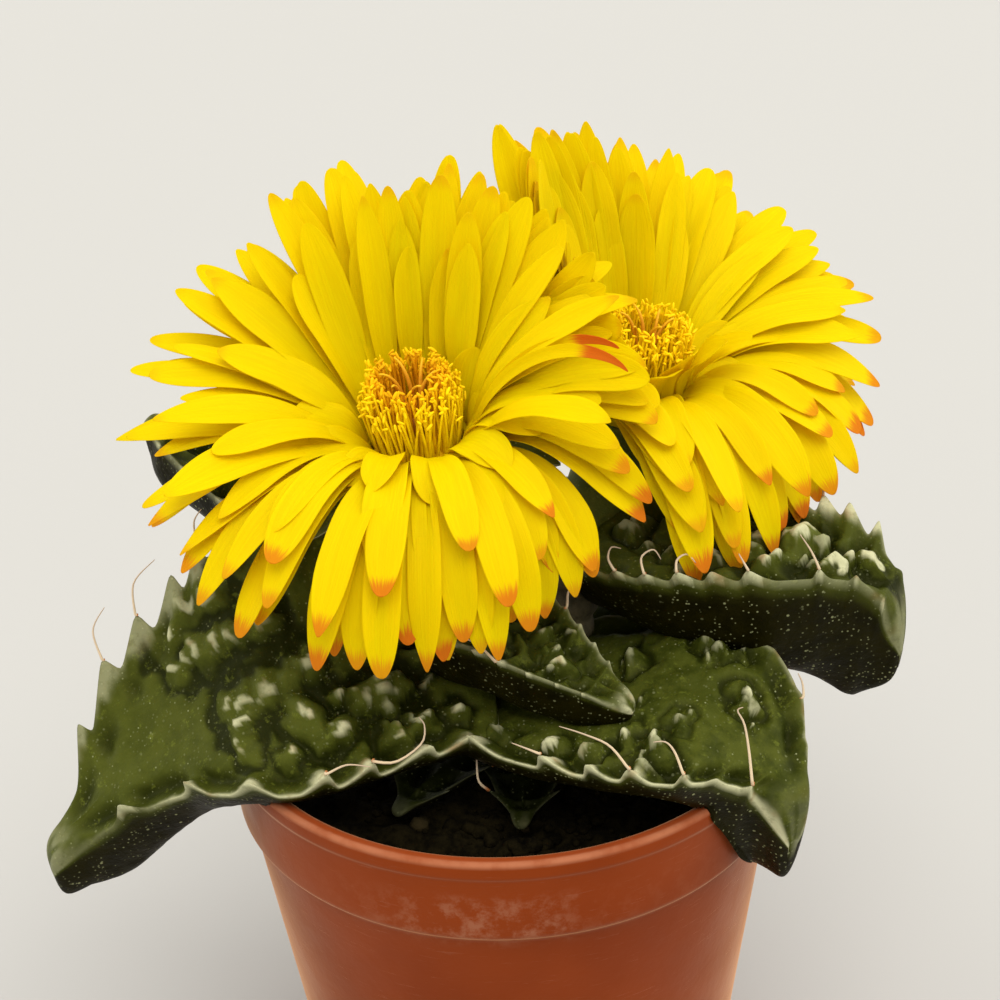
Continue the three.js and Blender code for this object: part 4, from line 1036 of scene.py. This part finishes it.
def kept_apart(bloom, spec, points):
    """A petal's points, eased back to their own flower's side of the plane between the flowers."""
    at, normal = parting()
    over = -bloom["side"] * (points - at) @ normal + spec["half"] + GAP
    allowed = bloom["cross"] + (ODD["cross"] if spec["key"] >= ODD["first_key"] else 0)
    over = over - allowed * np.linspace(0, 1, len(points))
    soft = PARTING["softness"]
    push = np.where(over > soft, over, np.where(over > -soft, (over + soft) ** 2 / (4 * soft), 0))
    return points + normal * (bloom["side"] * push)[:, None]


def closer_at_tip(rows, share):
    """Rows taken at even steps of a line, read again at other shares of its length."""
    even = np.linspace(0, 1, len(rows))
    return np.stack([np.interp(share, even, rows[:, k]) for k in range(3)], -1)


def petal(shape, bloom, spec):
    """One petal: a thin channelled blade with a faint midrib and a rounded or pointed tip."""
    seed, key = bloom["seed"], spec["key"]
    s = 1 - (1 - np.linspace(0, 1, PETAL["steps"] + 1)) ** 1.5
    points, across, up = (closer_at_tip(rows, s) for rows in petal_line(bloom, spec))
    w = dense_at_ends(PETAL["columns"])
    half = (spec["half"] * petal_width(s, 0.5 + 0.4 * draw(seed + 13, key)))[:, None]
    cup = (PETAL["channel"] * (0.5 + draw(seed + 8, key)) * (1 - 0.6 * s))[:, None]
    dip = cup * half * w**2 - PETAL["midrib"] * half * np.exp(-((w / 0.16) ** 2))
    wave = PETAL["wave"] * np.sin(9 * s[:, None] + 6.3 * draw(seed + 9, key)) * w * half
    top = points[:, None] + spread(across, half * w) + spread(up, dip + wave)
    thick = PETAL["thick"] * (1.15 - 0.75 * s)[:, None] * np.sqrt(1 - 0.8 * w**2)
    rings = np.concatenate([top, (top - spread(up, thick))[:, ::-1]], axis=1)
    size = rings.shape[1]
    droop = float(smoothstep(-spec["fall"], -10, 60))
    burn = spec.get("burn", 0.7 * droop + 0.55 * (draw(seed + 10, key) - 0.5))
    shape.add(
        rings.reshape(-1, 3), loft_faces(len(s), size),
        along=np.repeat(s, size), across=np.tile(np.concatenate([w, w[::-1]]), len(s)),
        back=np.tile(np.repeat([0.0, 1.0], len(w)), len(s)),
        burn=max(0.0, burn), tone=draw(seed + 12, key), droop=droop,
    )


def petal_ring(shape, bloom):
    """The short fused ring that the petals grow from."""
    points, faces = revolve(PETAL_RING, 48, True)
    shape.add(placed(bloom, points), faces, along=0.0, across=0.0, back=0.0, burn=0.0, tone=0.5, droop=0.0)


def revolve(profile, sides, closed):
    """Points and faces of a profile of [radius, height] turned about Z, closed on itself or capped."""
    profile = np.asarray(profile, float)
    points = circle(profile[:, None, 0], round_turns(sides), profile[:, None, 1]).reshape(-1, 3)
    faces = loft_faces(len(profile), sides, not closed)
    if closed:
        last = (len(profile) - 1) * sides
        for i in range(sides):
            j = (i + 1) % sides
            faces.append((last + i, last + j, j, i))
    return points, faces


def blossom(bloom, material):
    """All the petals of a flower, in their layers, with its odd ones."""
    shape = Shape()
    petal_ring(shape, bloom)
    for row, rule in enumerate(PETAL_ROWS):
        for index in range(rule["count"]):
            petal(shape, bloom, petal_spec(bloom, row, index))
    for index in range(len(bloom["strays"])):
        petal(shape, bloom, stray_spec(bloom, index))
    return bloom_piece(shape, bloom, "petal_blades", "petals", material)


def bloom_piece(shape, bloom, kind, part, material):
    """A piece that stands for one part of a flower."""
    return shape.piece(f"{bloom['name']}_{kind}", [f"{bloom['name']}_{part}"], part, material)


def stamen_brush(bloom, material):
    """A dense brush of filaments, each with a small anther, standing in a ring."""
    shape = Shape()
    seed, count = bloom["seed"], STAMEN["count"]
    points, faces = revolve(STAMEN_RING, 36, True)
    shape.add(placed(bloom, points), faces, height=0.1, inner=0.5, anther=0.0)
    for i in range(count):
        share = (i + 0.5) / count
        turn = i * math.radians(STAMEN["turn"]) + 0.3 * draw(seed, 2000 + i)
        foot = STAMEN["foot"] + STAMEN["spread"] * share**0.6
        tall = STAMEN["tall"] + STAMEN["uneven"] * draw(seed, 2100 + i) - STAMEN["outer_drop"] * share**3
        stray = STAMEN["stray"] * (draw(seed, 2200 + i) - 0.5)
        flare = STAMEN["upright"] + STAMEN["flare"] * share + stray
        twist = STAMEN["twist"] * (draw(seed, 2300 + i) - 0.5)
        corners = [
            circle(foot, turn, 0.9),
            circle(foot + 0.5 * flare, turn + twist * 0.2, tall * 0.4),
            circle(foot + 0.75 * flare, turn + twist * 0.5, tall * 0.75),
            circle(foot + flare, turn + twist, tall),
        ]
        line = placed(bloom, bezier(corners, 8))
        radii = np.linspace(STAMEN["thick"], STAMEN["thin"], len(line))
        inner = bloom["ripe"] * (1 - share)
        tube(shape, line, radii, 5, height=np.linspace(0.15, 1, len(line)), inner=inner, anther=0.0)
        anther(shape, line[-1], line[-1] - line[-2], seed, i, inner)
    return bloom_piece(shape, bloom, "stamen_brush", "stamens", material)


def anther(shape, tip, way, seed, i, inner):
    """A small bent grain at a filament's tip."""
    stray = np.array([draw(seed, 2400 + i * 3 + k) - 0.5 for k in range(3)])
    lie = unit(unit(way) + stray * ANTHER["stray"])
    line = tip + lie * np.array(ANTHER["places"])[:, None]
    radii = np.array(ANTHER["radii"]) * (0.85 + 0.4 * draw(seed, 2600 + i))
    tube(shape, line, radii, 6, height=1.0, inner=inner, anther=1.0)


def pistil(bloom, material):
    """The ovary's domed top, with thin styles that bend out at their tips."""
    shape = Shape()
    points, faces = revolve(OVARY, 28, False)
    shape.add(placed(bloom, points), faces, height=0.1)
    for i in range(STYLES["count"]):
        turn = i * 2 * math.pi / STYLES["count"] + 0.3
        tall = STYLES["tall"] + STYLES["stray"] * draw(bloom["seed"], 900 + i)
        corners = [
            circle(0.7, turn, 3.5),
            circle(0.9, turn + 0.1, 6.4),
            circle(1.3, turn + 0.3, tall),
            circle(2.6, turn + 0.7, tall + 0.4),
        ]
        line = placed(bloom, bezier(corners, 12))
        radii = np.linspace(STYLES["thick"], STYLES["thin"], len(line))
        tube(shape, line, radii, 6, height=np.linspace(0.2, 1, len(line)))
    return bloom_piece(shape, bloom, "styles", "pistil", material)


def calyx(bloom, material):
    """The stalk, the cup under the petals and five keeled sepals."""
    shape = Shape()
    axis = bloom_axis(bloom)
    foot = np.array(BRANCHES[bloom["branch"]][-1][:3], float) + [0, 0, GAP - 1.5]
    end = np.array(bloom["heart"], float) - axis * GAP
    pull = np.linalg.norm(end - foot) * 0.45
    line = bezier([foot, foot + [0, 0, pull * 0.6], end - axis * pull, end], 40)
    levels = np.array(STALK)
    radii = soft_line(np.interp(np.linspace(0, 1, len(line)), levels[:, 0], levels[:, 1]), np.ones(7) / 7)
    tube(shape, line, radii, 40, **SEPAL_GREEN, pale=0.0, under=0.0)
    for i in range(5):
        sepal(shape, bloom, i * 2 * math.pi / 5)
    return bloom_piece(shape, bloom, "stalk_and_sepals", "calyx", material)


def sepal(shape, bloom, turn):
    """A thick sepal, keeled below, whose tip bends down a little."""
    r, z, half, thick = (column[:, None] for column in resampled(SEPAL, 26).T)
    w = dense_at_ends(11)
    low = np.linspace(1, -1, 11)[1:-1]
    columns = np.concatenate([w, low])
    keel = np.concatenate([0 * w, (1 - np.abs(low)) ** 0.8])
    height = z + 0.25 * half * columns**2 - thick * keel
    out, side = circle(1.0, turn), circle(1.0, turn + np.pi / 2)
    up = np.array([0, 0, 1.0])
    rings = out * r[..., None] + side * (half * columns)[..., None] + up * height[..., None]
    edge = np.concatenate([np.exp(-((1 - np.abs(w)) / 0.06) ** 2), 0 * low])
    under = np.concatenate([0 * w, 1 + 0 * low])
    shape.add(
        placed(bloom, rings.reshape(-1, 3)), loft_faces(len(rings), len(columns)), **SEPAL_GREEN,
        pale=np.tile(edge, len(rings)), under=np.tile(under, len(rings)),
    )


def resampled(rows, count):
    """Rows of numbers read at even steps, straight from one to the next."""
    rows = np.array(rows, float)
    at = np.linspace(0, len(rows) - 1, count)
    return np.stack([np.interp(at, range(len(rows)), column) for column in rows.T], -1)


# Pot, soil and stem


def pot_wall(z):
    shoulder = POT["height"] - POT["collar_drop"]
    return POT["base"] + (POT["body"] - POT["base"]) * z / shoulder


def rounded(corners, radius, steps=5):
    """An open profile whose inner corners are rounded by up to radius."""
    corners = np.asarray(corners, float)
    line = [corners[0]]
    for before, corner, after in zip(corners, corners[1:], corners[2:]):
        back, on = before - corner, after - corner
        reach = min(radius, np.linalg.norm(back) * 0.45, np.linalg.norm(on) * 0.45)
        start, end = corner + unit(back) * reach, corner + unit(on) * reach
        for t in np.linspace(0, 1, steps):
            line.append(start * (1 - t) ** 2 + 2 * corner * t * (1 - t) + end * t**2)
    line.append(corners[-1])
    return np.array(line)


def pot_shell(material):
    """The tapered pot with its collar and rolled rim, and drain holes in its floor."""
    height, rim, wall, base, collar = (POT[key] for key in ("height", "rim", "wall", "base", "collar"))
    shoulder, mouth = height - POT["collar_drop"], rim - POT["lip"]
    outline = [
        [0.01, 0.55], [base - 2.6, 0.55], [base - 2.2, 0], [base - 0.9, 0],
        [base, 0.9], [pot_wall(shoulder), shoulder - 0.2], [collar, shoulder + 0.5],
        [rim - 0.2, height - 2.0], [rim, height - 1.6], [rim, height - 0.25], [rim - 0.3, height],
        [mouth + 0.9, height], [mouth + 0.4, height - 0.4], [mouth - 0.15, height - 1.6],
        [collar - wall, shoulder + 1.2], [pot_wall(shoulder) - wall, shoulder - 0.5],
        [pot_wall(POT["floor"]) - wall, POT["floor"]], [0.01, POT["floor"]],
    ]
    points, faces = revolve(with_more_rows(rounded(outline, 0.5), 1.6), POT["sides"], False)
    shape = Shape()
    shape.add(points, faces)
    made = shape.piece("pot_shell", ["pot"], "pot", material)
    for i in range(POT["drains"]):
        cut_drain(made, (i + 0.5) * 2 * math.pi / POT["drains"])
    return made


def with_more_rows(profile, most):
    """A profile with rows added so that none are further apart than most."""
    rows = [profile[0]]
    for before, after in zip(profile, profile[1:]):
        count = max(1, math.ceil(np.linalg.norm(after - before) / most))
        rows.extend(before + (after - before) * (k + 1) / count for k in range(count))
    return np.array(rows)


def cut_drain(made, turn):
    """Cuts one round drain hole through the pot's floor."""
    shape = bmesh.new()
    radius = POT["drain_radius"] * MM
    place = Matrix.Translation(circle(POT["drain_circle"], turn) * MM)
    bmesh.ops.create_cone(
        shape, cap_ends=True, segments=32, radius1=radius, radius2=radius, depth=6 * MM, matrix=place,
    )
    tool = bpy.data.meshes.new("drain")
    shape.to_mesh(tool)
    shape.free()
    cutter = added("drain", tool)
    cut = made.modifiers.new("drain", "BOOLEAN")
    cut.operation, cut.solver, cut.object = "DIFFERENCE", "EXACT", cutter
    settled = bpy.data.meshes.new_from_object(made.evaluated_get(bpy.context.evaluated_depsgraph_get()))
    made.modifiers.clear()
    made.data = settled
    bpy.data.objects.remove(cutter)


def soil_height(x, y):
    lumps = np.sin(0.9 * x + 1.3) * np.cos(1.1 * y) + 0.6 * np.sin(1.7 * y + 0.5 * x)
    mound = np.exp(-(x * x + y * y) / SOIL["mound_spread"] ** 2)
    return SOIL["top"] + SOIL["relief"] * lumps + SOIL["mound"] * mound


def soil_bed(material):
    """Crumbly soil: a rough surface with loose crumbs pressed into it."""
    shape = Shape()
    neck = POT["height"] - POT["collar_drop"] - 1
    edge = pot_wall(neck) - POT["wall"] - GAP
    turns = round_turns(SOIL["sides"])
    foot = pot_wall(POT["floor"]) - POT["wall"] - GAP
    wall = [(foot, POT["floor"] + GAP), (edge, neck), (edge, SOIL["top"] - 0.6)]
    levels = [circle(radius, turns, z) for radius, z in wall]
    for radius in np.linspace(edge - 0.3, 0.3, SOIL["rings"]):
        flat = circle(radius, turns)
        z = soil_height(flat[:, 0], flat[:, 1])
        for rise, size, seed in SOIL["clods"]:
            z = z + rise * rough(flat, size, seed)
        levels.append(circle(radius, turns, z))
    shape.add(np.concatenate(levels), loft_faces(len(levels), SOIL["sides"]), tone=0.35)
    for i in range(SOIL["crumbs"]):
        crumb(shape, i, edge)
    return shape.piece("soil_bed", ["soil"], "soil", material)


def crumb(shape, i, edge):
    """One loose crumb of soil, of a drawn size, with uneven sides."""
    middle = circle(edge * 0.97 * math.sqrt(draw(71, i)), 2 * math.pi * draw(72, i))
    size = SOIL["smallest_crumb"] + SOIL["crumb_range"] * draw(73, i) ** 3
    grain = bmesh.new()
    bmesh.ops.create_icosphere(grain, subdivisions=1 if size < 0.6 else 2, radius=1)
    points = np.array([v.co[:] for v in grain.verts])
    faces = [tuple(v.index for v in f.verts) for f in grain.faces]
    grain.free()
    points = points * (size * (1 + 0.35 * rough(points, 0.9, 10 + i)))[:, None] * [1, 1, 0.75]
    middle[2] = soil_height(*middle[:2]) + size * 0.25
    shape.add(points + middle, faces, tone=draw(74, i))


def stem(material):
    """The short woody trunk and its two branches, ringed by old leaf scars."""
    shape = Shape()
    for seed, rows in enumerate([TRUNK, *BRANCHES]):
        even = resampled(rows, 46)
        line = even[:, :3]
        radii = even[:, 3] * (1 + 0.05 * np.sin(line[:, 2] * 2.6) + 0.03 * rough(line, 1.5, seed))
        tube(shape, line, radii, 40)
    return shape.piece("stem_bark", ["stem"], "stem", material)


# Materials


class Paint:
    """A node tree being built round one Principled shader."""

    def __init__(self, name):
        self.material = bpy.data.materials.new(name)
        self.material.use_nodes = True
        self.tree = self.material.node_tree
        self.shader = self.tree.nodes["Principled BSDF"]
        self.output = self.tree.nodes["Material Output"]

    def node(self, kind, inputs=None, **settings):
        made = self.tree.nodes.new(kind)
        for name, value in settings.items():
            setattr(made, name, value)
        for name, value in (inputs or {}).items():
            self.put(value, made.inputs[name])
        return made

    def put(self, value, socket):
        """Links a socket to a node's output, or sets its value."""
        if isinstance(value, bpy.types.NodeSocket):
            self.tree.links.new(value, socket)
        else:
            socket.default_value = value

    def value(self, name):
        return self.node("ShaderNodeAttribute", attribute_name=name).outputs["Fac"]

    def math(self, operation, *operands, clamp=False):
        made = self.node("ShaderNodeMath", operation=operation, use_clamp=clamp)
        for i, operand in enumerate(operands):
            self.put(operand, made.inputs[i])
        return made.outputs[0]

    def times(self, first, second):
        return self.math("MULTIPLY", first, second)

    def scaled(self, value, factor, offset):
        """A value times a factor, with an offset added."""
        return self.math("MULTIPLY_ADD", value, factor, offset)

    def most(self, first, second):
        return self.math("MAXIMUM", first, second)

    def mix(self, share, first, second):
        made = self.node("ShaderNodeMix", data_type="RGBA")
        for socket, value in zip((0, 6, 7), (share, colour(first), colour(second))):
            self.put(value, made.inputs[socket])
        return made.outputs[2]

    def over(self, body, coat, share, amount):
        """A body's colour with a coat over it, by a share times an amount."""
        return self.mix(self.times(share, amount), body, coat)

    def ramp(self, value, stops):
        """A smooth ramp from [position, number or colour] stops."""
        made = self.node("ShaderNodeValToRGB", {"Fac": value})
        ramp = made.color_ramp
        ramp.interpolation = "EASE"
        while len(ramp.elements) < len(stops):
            ramp.elements.new(0.5)
        for element, (position, level) in zip(ramp.elements, stops):
            element.position = position
            element.color = colour(level) if isinstance(level, tuple) else (level, level, level, 1)
        return made.outputs["Color"]

    def noise(self, scale, detail, roughness, place=None):
        made = self.node("ShaderNodeTexNoise", {"Scale": scale, "Detail": detail, "Roughness": roughness})
        self.put(place or self.place(), made.inputs["Vector"])
        return made.outputs["Fac"]

    def patches(self, scale, detail, roughness, low, high, levels=(0.0, 1.0), place=None):
        """Noise cut into soft patches: the first level up to low, and the second from high on."""
        noise = self.noise(scale, detail, roughness, place)
        return self.ramp(noise, [(low, levels[0]), (high, levels[1])])

    def dots(self, scale, size, share):
        """Round dots with a drawn share of them left out: 1 on a dot and 0 off it."""
        made = self.node("ShaderNodeTexVoronoi", {"Scale": scale, "Vector": self.place()})
        spot = self.ramp(made.outputs["Distance"], [(size * 0.5, 1.0), (size, 0.0)])
        chance = self.node("ShaderNodeSeparateColor", {"Color": made.outputs["Color"]}).outputs[0]
        return self.times(spot, self.math("LESS_THAN", chance, share))

    def place(self):
        return self.node("ShaderNodeTexCoord").outputs["Object"]

    def bump(self, height, distance, strength, under=None):
        made = self.node("ShaderNodeBump", {"Height": height, "Distance": distance, "Strength": strength})
        if under is not None:
            self.put(under, made.inputs["Normal"])
        return made.outputs["Normal"]

    def grain(self, scale, detail, roughness, distance, strength):
        return self.bump(self.noise(scale, detail, roughness), distance, strength)

    def finish(self, **sockets):
        """Sets the shader's sockets and gives the material."""
        for name, value in sockets.items():
            self.put(colour(value), self.shader.inputs[name.replace("_", " ")])
        return self.material


def colour(value):
    """A colour with its alpha, and anything else as it is."""
    return (*value, 1.0) if isinstance(value, tuple) and len(value) == 3 else value


def lighter(tint, factor):
    return tuple(part * factor for part in tint)


def leaf_paint(name, lit, dark, below):
    """Waxy green, blotched partly by mottling and partly by painted shade, with painted shade in the
    hollows, a painted highlight on the bumps' tops, pale dots, pale horn and a dotted underside darkened as
    painted shade.
    """
    paint = Paint(name)
    under = paint.value("under")
    clouds = paint.patches(420, 4.0, 0.6, 0.34, 0.64)
    broad = paint.patches(110, 2.0, 0.5, 0.4, 0.75, levels=(0.0, 0.6))
    # Dark blotches: partly the leaf's own mottling and partly painted shade.
    blotches_and_shade = paint.most(paint.math("SUBTRACT", 1.0, clouds), broad)
    face = paint.over(lit, dark, blotches_and_shade, paint.value("mottle"))
    # Painted highlight: the bumps' tops lightened towards a paler green.
    face = paint.over(face, lighter(lit, 1.7), paint.value("crest"), 0.35)
    # Painted shade: the hollows darkened to a quarter of the dark green.
    face = paint.over(face, lighter(dark, 0.25), paint.value("hollow"), 0.85)
    face = paint.over(face, lighter(lit, 2.6), paint.patches(820, 5.0, 0.75, 0.56, 0.68), 0.34)
    # The flanks and underside take the underside green, darkened as painted shade.
    body = paint.mix(under, face, paint.mix(clouds, lighter(below, 0.5), below))
    speckle = leaf_speckle(paint, under)
    body = paint.mix(speckle, body, TINTS["dot"])
    rust = paint.patches(420, 2.0, 0.5, 0.52, 0.78, levels=(0.0, 0.8))
    horn = paint.mix(rust, TINTS["horn"], TINTS["rust"])
    patchy = paint.patches(1100, 3.0, 0.7, 0.3, 0.5, levels=(0.7, 1.0))
    body = paint.over(body, horn, paint.value("pale"), patchy)
    is_hair = paint.math("GREATER_THAN", paint.value("bristle"), 0.01)
    body = paint.mix(is_hair, body, paint.ramp(paint.value("bristle"), HAIR))
    relief = paint.bump(speckle, 0.00006, 0.7, paint.grain(1500, 3.0, 0.6, 0.00014, 0.7))
    shine = paint.patches(500, 2.0, 0.5, 0.3, 0.7, levels=(0.4, 0.55))
    return paint.finish(
        Base_Color=body, Roughness=shine, Normal=relief, Specular_IOR_Level=0.07, Specular_Tint=TINTS["wax"],
    )


def leaf_speckle(paint, under):
    """Fine pale dots in uneven clusters, with more and larger ones on the flanks."""
    crowd = paint.patches(260, 2.0, 0.5, 0.36, 0.62, levels=(0.15, 1.0))
    fine = paint.times(paint.dots(1500, 0.17, 0.4), 0.5)
    coarse = paint.times(paint.dots(1000, 0.18, 0.65), paint.scaled(under, 0.45, 0.2))
    tiny = paint.times(paint.dots(2100, 0.26, 0.6), paint.scaled(under, 0.38, 0.12))
    return paint.times(paint.most(fine, paint.most(coarse, tiny)), crowd)


def petal_paint():
    """Satin yellow with faint long veins, painted shade deepening the gold towards the roots, orange tips
    and backs, letting some light through.
    """
    paint = Paint("petal_yellow")
    along, burn, tone = paint.value("along"), paint.value("burn"), paint.value("tone")
    lengthwise = paint.node("ShaderNodeCombineXYZ", {
        "X": paint.times(paint.value("across"), 5.0),
        "Y": paint.times(along, 1.6),
        "Z": paint.times(tone, 40.0),
    }).outputs[0]
    veins = paint.noise(2.2, 3.0, 0.55, lengthwise)
    body = paint.mix(paint.ramp(veins, [(0.35, 0.0), (0.7, 1.0)]), TINTS["petal"], TINTS["petal_vein"])
    body = paint.over(body, TINTS["petal_deep"], tone, 0.4)
    # Painted shade: a deeper gold towards the roots.
    body = paint.over(body, TINTS["petal_root_shade"], paint.ramp(along, [(0.0, 1.0), (0.3, 0.0)]), 0.4)
    warm = paint.times(paint.value("back"), paint.scaled(paint.value("droop"), 0.35, 0.1))
    body = paint.over(body, TINTS["petal_back"], warm, paint.ramp(along, [(0.2, 0.2), (0.8, 1.0)]))
    edge = paint.math("ADD", along, paint.scaled(veins, 0.12, -0.06))
    edge = paint.scaled(paint.math("GREATER_THAN", burn, 1.0), 0.12, paint.scaled(burn, 0.05, edge))
    scorched = paint.math("MULTIPLY", burn, 1.0, clamp=True)
    body = paint.over(body, TINTS["petal_tip"], paint.ramp(edge, [(0.94, 0.0), (1.03, 1.0)]), scorched)
    relief = paint.bump(veins, 0.00012, 0.4)
    through = paint.node("ShaderNodeBsdfTranslucent", {"Color": body, "Normal": relief})
    both = paint.node("ShaderNodeMixShader", {"Fac": PETAL["see_through"]})
    paint.put(paint.shader.outputs[0], both.inputs[1])
    paint.put(through.outputs[0], both.inputs[2])
    paint.put(both.outputs[0], paint.output.inputs["Surface"])
    return paint.finish(Base_Color=body, Roughness=0.6, Normal=relief, Specular_IOR_Level=0.05)


def stamen_paint():
    paint = Paint("stamen_gold")
    body = paint.ramp(paint.value("height"), GOLD)
    body = paint.mix(paint.ramp(paint.value("inner"), [(0.3, 0.1), (0.85, 0.85)]), body, TINTS["gold_inner"])
    body = paint.over(body, TINTS["gold_anther"], paint.value("anther"), 0.25)
    body = paint.mix(paint.patches(900, 2.0, 0.5, 0.4, 0.8, levels=(0.0, 0.35)), body, TINTS["gold_spot"])
    relief = paint.grain(3000, 2.0, 0.5, 0.00008, 0.5)
    return paint.finish(Base_Color=body, Roughness=0.7, Normal=relief, Specular_IOR_Level=0.08)


def style_paint():
    paint = Paint("style_amber")
    body = paint.ramp(paint.value("height"), AMBER)
    body = paint.mix(paint.patches(1100, 2.0, 0.5, 0.4, 0.8, levels=(0.0, 0.4)), body, TINTS["amber_spot"])
    relief = paint.grain(2500, 2.0, 0.5, 0.0001, 0.5)
    return paint.finish(Base_Color=body, Roughness=0.6, Normal=relief, Specular_IOR_Level=0.2)


def pot_paint():
    """Brick-red plastic, satin, with a patchy painted highlight along its lip, chalky marks on its collar
    and fine scuffs.
    """
    paint = Paint("pot_plastic")
    place = paint.place()
    across, deep, up = paint.node("ShaderNodeSeparateXYZ", {"Vector": place}).outputs
    height = paint.times(up, 1 / (POT["height"] * MM))
    flat = paint.node("ShaderNodeCombineXYZ", {"X": across, "Y": deep}).outputs[0]
    radius = paint.node("ShaderNodeVectorMath", {0: flat}, operation="LENGTH").outputs["Value"]
    # Painted highlight: a paler band round the top of the rim, broken into patches.
    outer = paint.ramp(paint.times(radius, 1 / (POT["rim"] * MM)), [(0.974, 0.1), (0.986, 1.0)])
    lip = paint.times(paint.ramp(height, [(0.988, 0.0), (0.995, 1.0)]), outer)
    patchy = paint.times(paint.patches(300, 4.0, 0.6, 0.3, 0.6, levels=(0.5, 1.0)), 0.5)
    chalk = chalky_marks(paint, height, across)
    stretched = paint.node("ShaderNodeMapping", {"Vector": place, "Scale": (1.0, 1.0, 14.0)}).outputs[0]
    scuffs = paint.patches(260, 4.0, 0.7, 0.6, 0.78, place=stretched)
    body = paint.mix(paint.patches(45, 3.0, 0.55, 0.3, 0.7), TINTS["brick"], TINTS["brick_light"])
    body = paint.over(body, TINTS["lip"], lip, patchy)
    body = paint.over(body, TINTS["chalk"], chalk, 0.32)
    body = paint.over(body, TINTS["scuff"], scuffs, 0.12)
    shine = paint.mix(chalk, paint.patches(120, 3.0, 0.6, 0.3, 0.7, levels=(0.34, 0.48)), (0.8, 0.8, 0.8))
    relief = paint.bump(scuffs, 0.00003, 0.4, paint.grain(700, 3.0, 0.6, 0.00008, 0.35))
    return paint.finish(
        Base_Color=body, Roughness=shine, Normal=relief,
        Specular_IOR_Level=0.1, Specular_Tint=TINTS["glint"],
        Sheen_Weight=0.75, Sheen_Roughness=0.3, Sheen_Tint=TINTS["sheen"],
    )


def chalky_marks(paint, height, across):
    """Broken pale smudges of dried water round the collar, thickest at the front."""
    band = paint.ramp(height, [(0.78, 0.0), (0.83, 1.0), (0.9, 0.8), (0.94, 0.0)])
    broken = paint.patches(480, 6.0, 0.72, 0.44, 0.66)
    near = paint.math("ABSOLUTE", paint.math("SUBTRACT", across, -0.003))
    patch = paint.ramp(paint.scaled(paint.noise(150, 3.0, 0.6), 0.01, near), [(0.009, 1.0), (0.017, 0.14)])
    return paint.times(paint.times(band, broken), patch)


def soil_paint():
    # Near-black soil: its own dark colour, darkened further as painted shade under the leaves.
    paint = Paint("soil_dark")
    body = paint.mix(paint.patches(900, 4.0, 0.65, 0.3, 0.7), TINTS["soil"], TINTS["soil_grain"])
    body = paint.mix(paint.ramp(paint.value("tone"), [(0.88, 0.0), (0.99, 0.5)]), body, TINTS["crumb"])
    relief = paint.grain(2200, 4.0, 0.7, 0.0003, 0.7)
    return paint.finish(Base_Color=body, Roughness=0.92, Normal=relief, Specular_IOR_Level=0.04)


def bark_paint():
    paint = Paint("stem_bark")
    body = paint.mix(paint.patches(500, 4.0, 0.6, 0.3, 0.7), TINTS["bark"], TINTS["bark_light"])
    return paint.finish(Base_Color=body, Roughness=0.8, Normal=paint.grain(900, 4.0, 0.7, 0.0003, 0.8))


# The room: a pale floor, soft light and the camera


def floor():
    mesh = bpy.data.meshes.new("floor")
    corners = [(x * FLOOR_REACH, y * FLOOR_REACH, 0) for x, y in [(-1, -1), (1, -1), (1, 1), (-1, 1)]]
    mesh.from_pydata(corners, [], [(0, 1, 2, 3)])
    paint = Paint("floor_pale")
    shade = paint.mix(paint.noise(3.0, 2.0, 0.5), TINTS["floor"], TINTS["floor_light"])
    mesh.materials.append(paint.finish(Base_Color=shade, Roughness=0.9, Specular_IOR_Level=0.1))
    added("floor", mesh)


def soft_light(name, way, spread_degrees, power, tint):
    """A broad even light that shines along a direction."""
    lamp = bpy.data.lights.new(name, "SUN")
    lamp.angle, lamp.energy, lamp.color = math.radians(spread_degrees), power, tint
    added(name, lamp).rotation_euler = Vector(way).to_track_quat("-Z", "Y").to_euler()


def room():
    floor()
    world = bpy.data.worlds.new("room")
    world.use_nodes = True
    around = world.node_tree.nodes["Background"].inputs
    around["Color"].default_value = TINTS["room"]
    around["Strength"].default_value = ROOM_LIGHT
    bpy.context.scene.world = world
    for name, (way, spread_degrees, power, tint) in LAMPS.items():
        soft_light(name, way, spread_degrees, power, tint)
    bpy.context.scene.view_settings.view_transform = "Standard"


def camera():
    """The photograph's own viewpoint, a little above and in front, with the frame tipped slightly."""
    lens = bpy.data.cameras.new("camera")
    lens.lens, lens.sensor_width, lens.clip_start = LENS_MM, SENSOR_MM, 0.01
    made = added("camera", lens)
    ahead = Vector(VIEW_AHEAD).normalized()
    right = ahead.cross(Vector(VIEW_UP)).normalized()
    turn = Matrix((right, right.cross(ahead), -ahead)).transposed().to_4x4()
    made.matrix_world = Matrix.Translation(VIEW_FROM) @ turn
    bpy.context.scene.camera = made


def plant():
    """Every piece of the plant, its soil and its pot."""
    petals, gold, amber = petal_paint(), stamen_paint(), style_paint()
    greens = {name: leaf_paint(name, *tints) for name, tints in GREENS.items()}
    for bloom in BLOOMS:
        blossom(bloom, petals)
        stamen_brush(bloom, gold)
        pistil(bloom, amber)
        calyx(bloom, greens["sepal_green"])
    for own in LEAVES:
        leaf = {**LEAF_RULE, **own}
        shape = Shape()
        leaf_body(shape, leaf)
        leaf_bristles(shape, leaf)
        # The small leaves, with no small bumps, take the darker copy of the green as painted shade.
        green = greens["shaded_low_leaf_green" if leaf["small_bumps"] == 0 else "leaf_green"]
        shape.piece(f"{leaf['name']}_toothed", [leaf["name"]], "leaves", green)
    stem(bark_paint())
    soil_bed(soil_paint())
    pot_shell(pot_paint())


camera()
room()
plant()
